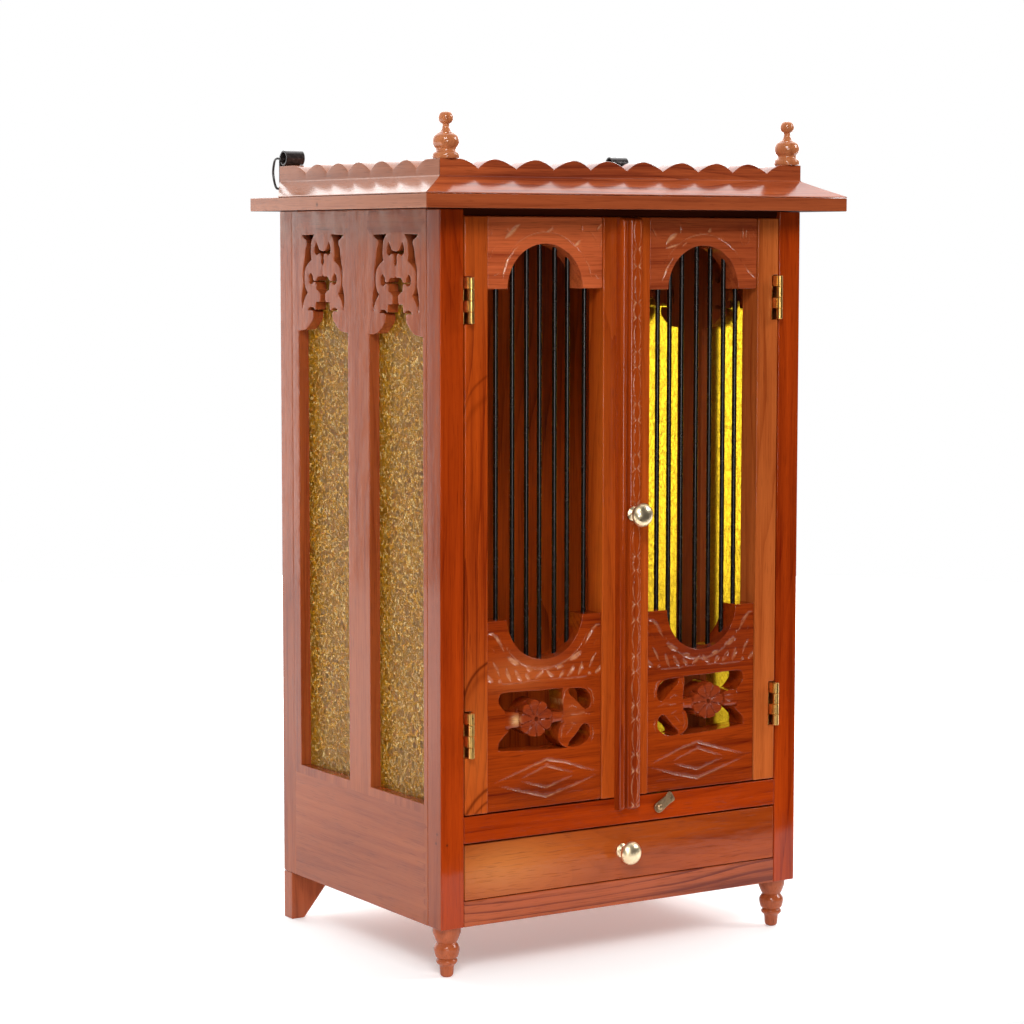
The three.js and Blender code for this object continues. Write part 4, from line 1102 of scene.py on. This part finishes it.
FINIAL = [(0, 0), (10.4, 0), (11, 0.9), (10.9, 3), (10.1, 4.4), (8.6, 5.5), (8.1, 6.6), (8.2, 7.8),
          (9.7, 9.6), (10.8, 12.8), (10.6, 15.4), (9.5, 17.9), (7.7, 19.4), (7.0, 19.5), (6.9, 20.0),
          (6.4, 20.2), (4.5, 21.4), (3.1, 23.6), (2.7, 25.6), (3.0, 27.0), (4.6, 28.1), (5.8, 30.2),
          (6.0, 32.4), (5.2, 34.9), (3.2, 36.6), (0, 37)]
FOOT = [(0, 0), (3.4, 0), (5.4, 2), (6.2, 9), (8.6, 12), (8.7, 14), (7.7, 15.4), (9.4, 17.2), (10.7, 22.5),
        (10.2, 25.5), (8.1, 28.6), (9.6, 31.5), (11.7, 37.5), (11.7, 41.95), (0, 41.95)]
KNOB = [(0, 0), (5.8, 0), (5.8, 1.2), (3.4, 3), (2.9, 6.5), (4.2, 9.5), (8.8, 11.6), (9.9, 13.2), (9.4, 15.4),
        (7, 18), (3.6, 19.4), (0, 19.8)]
for s, x in (("left", 10.7), ("right", WIDTH - 8.6)):
    lathe(f"finial_{s}_turning", [(r, h if h else -0.24) for r, h in FINIAL], (x, 8.4, 663.1), "up",
          M["turned"],
          "cabinet", f"finial_{s}")
for s, x in (("left", 13.8), ("right", WIDTH - 13.8)):
    lathe(f"front_foot_{s}_turning", FOOT, (x, 13.8, 0), "up", M["foot"], "cabinet",
          f"front_foot_{s}")
lathe("door_knob_brass", KNOB, (180, -10.3, 373.1), "front", POLISHED, "right_door",
      "right_door_knob")
lathe("drawer_knob_brass", KNOB, (177, -0.3, 88.4), "front", POLISHED, "drawer", "drawer_knob")

# ---------------------------------------------------------------- cover strip with its carved bead

STRIP_CENTRE = 179.8
STRIP_LOW, STRIP_HIGH = 123.6, 617.0
STRIP_SECTION = [(-10.6, -0.3), (-10.6, -6.6), (-9.4, -8.8), (-7.6, -9.4), (-6, -8.4), (-5.4, -5.4),
                 (-3.2, -5.4), (-2.6, -8.2), (0, -9.8), (6, -10), (9.4, -8.8), (10.6, -6), (10.6, -0.3)]


def strip_piece():
    line = catmull(STRIP_SECTION, 12, False, 62)
    section = resample(line, 0.55)
    keep = [0]
    for i in range(1, len(section)):
        flat_back = section[i][1] > -0.31 and section[keep[-1]][1] > -0.31
        if np.linalg.norm(section[i] - section[keep[-1]]) > (4.0 if flat_back else 0.4):
            keep.append(i)
    section = section[keep]
    tangent = np.roll(section, -1, 0) - np.roll(section, 1, 0)
    normal = np.column_stack([tangent[:, 1], -tangent[:, 0]])
    normal /= np.linalg.norm(normal, axis=1)[:, None]
    centre = section.mean(0)
    if ((section - centre) * normal).sum() > 0:
        normal = -normal
    stations = np.append(np.arange(STRIP_LOW, STRIP_HIGH, 0.8), STRIP_HIGH)
    U, V = np.meshgrid(section[:, 0], stations)
    pts = np.column_stack([U.ravel(), V.ravel()])
    cuts = np.zeros(len(pts))
    mid = 4.0
    z = STRIP_LOW + 4
    k = 0
    while z < STRIP_HIGH - 8:
        tall = (29.0 if k % 2 == 0 else 13.0) + 1.2 * math.sin(k * 1.3)
        wide = 3.5 + 0.4 * math.sin(k * 2.1)
        rise = np.linspace(0, 1, 9)
        rows = [(np.column_stack([mid + m * wide * np.sin(np.pi * rise) ** 0.8, z + tall * rise]), 1.7, 0.7)
                for m in (-1, 1)]
        rows += [([(mid + m * 4.6, z - 3.4), (mid + m * 1.6, z), (mid + m * 4.4, z + 3.2)], 2.2,
                  1.0) for m in (-1, 1)]
        near = (pts[:, 1] > z - 6) & (pts[:, 1] < z + tall + 4)
        for path, w, d in rows:
            cuts[near] = np.maximum(cuts[near], stroke(pts[near], path, w, d))
        z += tall
        k += 1
    cuts = cuts.reshape(U.shape) * ((section[:, 0] > -2.4) & (section[:, 1] < -6))[None, :]
    end = np.minimum(V - STRIP_LOW, STRIP_HIGH - V)
    shrink = 1 - 0.35 * np.clip(1 - end / 2.5, 0, 1) ** 2
    x = STRIP_CENTRE + U + normal[None, :, 0] * cuts
    y = (section[None, :, 1] + normal[None, :, 1] * cuts)
    y = np.where(y < -0.31, y * shrink, y)
    beads = np.where(section[:, 0] < -4.3, (section[:, 0] + 8) / 3.7, (section[:, 0] - 4) / 8.3)
    tip = 3.4 * (1 - np.sqrt(1 - np.clip(np.abs(beads), 0, 0.97) ** 2))
    Z = V + tip[None, :] * np.clip(1 - (V - STRIP_LOW) / 12, 0, 1)
    verts = np.column_stack([x.ravel(), y.ravel(), Z.ravel()])
    make_object("cover_strip_carving", place(verts), tube_faces(len(stations), len(section)), M["strip"],
                "right_door",
                "right_door_cover_strip", 42.0,
                carve=np.clip((cuts.ravel() - 0.1) / 0.8, 0, 1))


strip_piece()

# ---------------------------------------------------------------- glass, rods, hinges

ROD_RADIUS = 2.05
for s in ("left", "right"):
    NODES[f"glass_{s}"].data.materials.clear()
    NODES[f"glass_{s}"].data.materials.append(GLASS[s])
    for k in "abcdefg":
        n = f"{s}_door_rod_{k}"
        (x0, y0, z0), (x1, y1, z1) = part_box(n)
        cx, cy = (x0 + x1) / 2 * 1000 - OX, (y0 + y1) / 2 * 1000 - OY
        length = (z1 - z0) * 1000
        shaft = [(ROD_RADIUS - 0.02 * rng.random(), h) for h in np.linspace(1, length - 1, 24)]
        lathe(f"{s}_door_iron_{k}", [(0, 0), (1.8, 0), *shaft, (1.8, length), (0, length)],
              (cx, cy, z0 * 1000), "up",
              IRON, f"{s}_door", n, sides=20, smooth=1)

HINGE_X, HINGE_Y, HINGE_LENGTH, KNUCKLE = 25.6, -5.5, 37.0, 2.65
KNUCKLE_LENGTH = HINGE_LENGTH / 4
LEAF = 0.9
UPRIGHT = ((1, 0, 0), (0, 1, 0), (0, 0, 1))
for s, x_of in SIDES:
    for level, z in (("lower", 181.5), ("upper", 532.0)):
        for leaf in ("post", "door"):
            moving = leaf == "door"
            owned = (0, 2) if moving == (s == "left") else (1, 3)
            px = HINGE_X + KNUCKLE - 0.2 if moving else HINGE_X - KNUCKLE - 0.6
            pin = (x_of(HINGE_X), HINGE_Y, 0)
            hinge = Pieces()
            hinge.box(x_of(px), x_of(px + LEAF), 1, 15.5, z, z + HINGE_LENGTH)
            for k in owned:
                low, high = z + k * KNUCKLE_LENGTH + 0.15, z + (k + 1) * KNUCKLE_LENGTH - 0.15
                hinge.box(x_of(px), x_of(px + LEAF), HINGE_Y, 2, low, high)
                r = KNUCKLE
                prof = [(0, low), (r - 0.35, low), (r, low + 0.35), (r, high - 0.35), (r - 0.35, high),
                        (0, high)]
                hinge.turned(prof, pin, *UPRIGHT)
            if not moving:
                top = z + HINGE_LENGTH
                hinge.turned([(0, z), (1.0, z), (1.0, top), (0, top)], pin, *UPRIGHT, 12)
            hinge.done(f"{s}_{level}_{leaf}_hinge_leaf", BRASS, f"{s}_door" if moving else "cabinet", "brass",
                       f"{s}_{level}_hinge_{leaf}_leaf")

# ---------------------------------------------------------------- turn button and hangers

TURN = 0.99
PIVOT_X, PIVOT_Z = 213.0, 121.9
BUTTON = [*arc_points(0, 0, 4.7, 180, 360, 20), (4.1, 9.5), (4.9, 14.6), (3.6, 16.4), (0, 16.8), (-3.6, 16.4),
          (-4.9, 14.6), (-4.1, 9.5)]
BUTTON = catmull(BUTTON, 4, True, 60)


def flat(p):
    """No carving."""
    return np.zeros(len(p))


def button_space(u, v, d):
    x = u * math.cos(TURN) + v * math.sin(TURN)
    z = -u * math.sin(TURN) + v * math.cos(TURN)
    return np.column_stack([PIVOT_X + x, -4.2 + d, PIVOT_Z + z])


relief("turn_button_plate", BUTTON, [], button_space, 1.2, flat, DULL, "turn_button", "turn_button",
       fine=0.9, coarse=1.8, round_r=0.4)
screw = Pieces()
for prof in ([(0, 0.35), (3.2, 0.35), (3.2, 3.1), (0, 3.1)],
             [(0, 4.15), (3.1, 4.15), (3.05, 4.7), (2.7, 5.4), (1.9, 6.0), (1.0, 6.3), (0, 6.38)]):
    screw.turned(prof, (PIVOT_X, 0, PIVOT_Z), (1, 0, 0), (0, 0, 1), (0, -1, 0), 28)
screw.done("turn_button_screw", DULL, "turn_button", "brass", "turn_button")

BARREL_Y, BARREL_Z = 264.3, 669.6


def strap_outline():
    top = arc_points(BARREL_Y, BARREL_Z, 6.5, 38, 330, 60)
    under = arc_points(BARREL_Y, BARREL_Z, 5.1, 330, 12, 60)
    return np.array([(272.4, 640.8), (272.4, 667.8), (271.5, 671.6), *top, *under, (270.6, 669.2),
                     (271.0, 667.0), (271.0, 640.8)])


WIRE = [(266.6, -1), (272, -0.4), (276.6, -3), (279.2, -11.5), (277.6, -19), (274.4, -24.6)]
WIRE_RADIUS = 1.1
for s, x_of in SIDES:
    relief(f"hanger_strap_{s}", strap_outline(), [], from_side(x_of, 0.3), 17.7,
           flat, HANGER_IRON, "cabinet", f"hanger_barrel_{s}", fine=0.9, coarse=1.8,
           round_r=0.25)
    leg = [(-1.8, y, BARREL_Z + z) for y, z in WIRE[1:]]
    far = [(20.2, y, z) for _, y, z in leg[::-1]]
    route = [(8.6, WIRE[0][0], BARREL_Z - 1), (-0.8, WIRE[0][0], BARREL_Z - 1), *leg,
             (0.2, 274.2, BARREL_Z - 26.4),
             (18.2, 274.2, BARREL_Z - 26.4), *far, (19.2, WIRE[0][0], BARREL_Z - 1),
             (9.8, WIRE[0][0], BARREL_Z - 1)]
    curve = catmull([(x_of(x), y, z) for x, y, z in route], 8, False, 75)
    tangents = np.gradient(curve, axis=0)
    tangents /= np.linalg.norm(tangents, axis=1)[:, None]
    frame_x = np.cross(tangents[0], (0, 0, 1.0))
    frame_x /= np.linalg.norm(frame_x)
    verts, sides = [], 12
    for p, t in zip(curve, tangents):
        frame_x = frame_x - t * (frame_x @ t)
        frame_x /= np.linalg.norm(frame_x)
        frame_y = np.cross(t, frame_x)
        for i in range(sides):
            a = 2 * math.pi * i / sides
            verts.append(p + WIRE_RADIUS * (math.cos(a) * frame_x + math.sin(a) * frame_y))
    make_object(f"hanger_wire_{s}", place(verts), tube_faces(len(curve), sides), HANGER_IRON, f"{s}_bail",
                f"hanger_bail_{s}")

# ---------------------------------------------------------------- camera, floor and light

CAMERA = np.array([-1161.18, -1939.57, 588.71 + 4.6])
FOCAL_PIXELS = 2845.95
YAW, PITCH, ROLL = math.radians(32.359), math.radians(-5.327), 0.0008
fwd = Vector((math.sin(YAW) * math.cos(PITCH), math.cos(YAW) * math.cos(PITCH), math.sin(PITCH)))
right = Vector((math.cos(YAW), -math.sin(YAW), 0))
up = right.cross(fwd)
right, up = math.cos(ROLL) * right + math.sin(ROLL) * up, -math.sin(ROLL) * right + math.cos(ROLL) * up
cam = bpy.data.cameras.new("camera")
cam.sensor_width = 36.0
cam.lens = 36.0 * FOCAL_PIXELS / 1024.0
cam.clip_end = 50.0
cam_ob = bpy.data.objects.new("camera", cam)
SCENE.collection.objects.link(cam_ob)
turn = Matrix((right, up, -fwd)).transposed().to_4x4()
cam_ob.matrix_world = Matrix.Translation(Vector(place(CAMERA)[0])) @ turn
SCENE.camera = cam_ob

FLOOR_RADIUS = 2.7
FLOOR_FRONT = -0.46
ring_angles = np.linspace(0, 2 * math.pi, 96, endpoint=False)
me = bpy.data.meshes.new("floor")
me.from_pydata([(FLOOR_RADIUS * math.cos(a), max(FLOOR_RADIUS * math.sin(a), FLOOR_FRONT),
                 0) for a in ring_angles],
               [], [tuple(range(len(ring_angles)))])
floor = bpy.data.objects.new("floor", me)
SCENE.collection.objects.link(floor)
white = Material("floor_white")
here = white.coordinates()
reach = white.vector("LENGTH", here).spread(0.35, 1.5, 0.25, 1.0, smooth=True)
behind = white.split(here)[1].spread(-0.7, -0.2, 0.3, 1.0, smooth=True)
white.set(Base_Color=(0.9, 0.9, 0.9), Roughness=0.8, Specular_IOR_Level=0.0, Emission_Color=(1, 1, 1),
          Emission_Strength=reach * behind)
me.materials.append(white.made)

world = bpy.data.worlds.new("studio")
SCENE.world = world
world.use_nodes = True
# Bright behind the cabinet and dark in front, and dimmer far round to the left behind it, which is what the
# front part of its left side mirrors.
sky = Graph(world.node_tree)
out = sky.node("OutputWorld")
x, y, z = sky.split(sky.coordinates("Generated"))
level = (y + z * 0.45).spread(-0.2, 0.9, 0.02, 2.1, smooth=True)
slant = x * -1.0 / sky.math("MAXIMUM", y, 0.05)
lit = sky.node("Background", Color=(1, 1, 1), Strength=level * slant.spread(0.505, 0.59, 1.35, 0.4,
                                                                            smooth=True))
seen = sky.node("Background", Color=(1, 1, 1), Strength=1.0)
mixer = sky.node("MixShader")
sky.tree.links.new(sky.node("LightPath").outputs["Is Camera Ray"], mixer.inputs[0])
sky.tree.links.new(lit.outputs[0], mixer.inputs[1])
sky.tree.links.new(seen.outputs[0], mixer.inputs[2])
sky.tree.links.new(mixer.outputs[0], out.inputs["Surface"])


def area(name, location, target, size, power):
    light = bpy.data.lights.new(name, "AREA")
    light.shape = "RECTANGLE"
    light.size, light.size_y = size
    light.energy = power
    ob = bpy.data.objects.new(name, light)
    SCENE.collection.objects.link(ob)
    ob.location = location
    direction = Vector(target) - Vector(location)
    ob.rotation_euler = direction.to_track_quat("-Z", "Y").to_euler()
    return ob


area("key", (-1.3, -1.9, 1.75), (0, 0, 0.35), (0.8, 0.8), 36)
area("low", (-0.9, -2.2, 0.45), (0, 0, 0.4), (0.6, 0.6), 13)
area("fill", (2.1, -1.2, 1.7), (0, 0, 0.3), (0.8, 0.8), 30)

back = area("back", (2.0, 2.4, 0.6), (0.1, 0, 0.35), (2.2, 1.6), 42)
back.visible_camera = False

SCENE.view_settings.view_transform = "Standard"
SCENE.view_settings.look = "None"
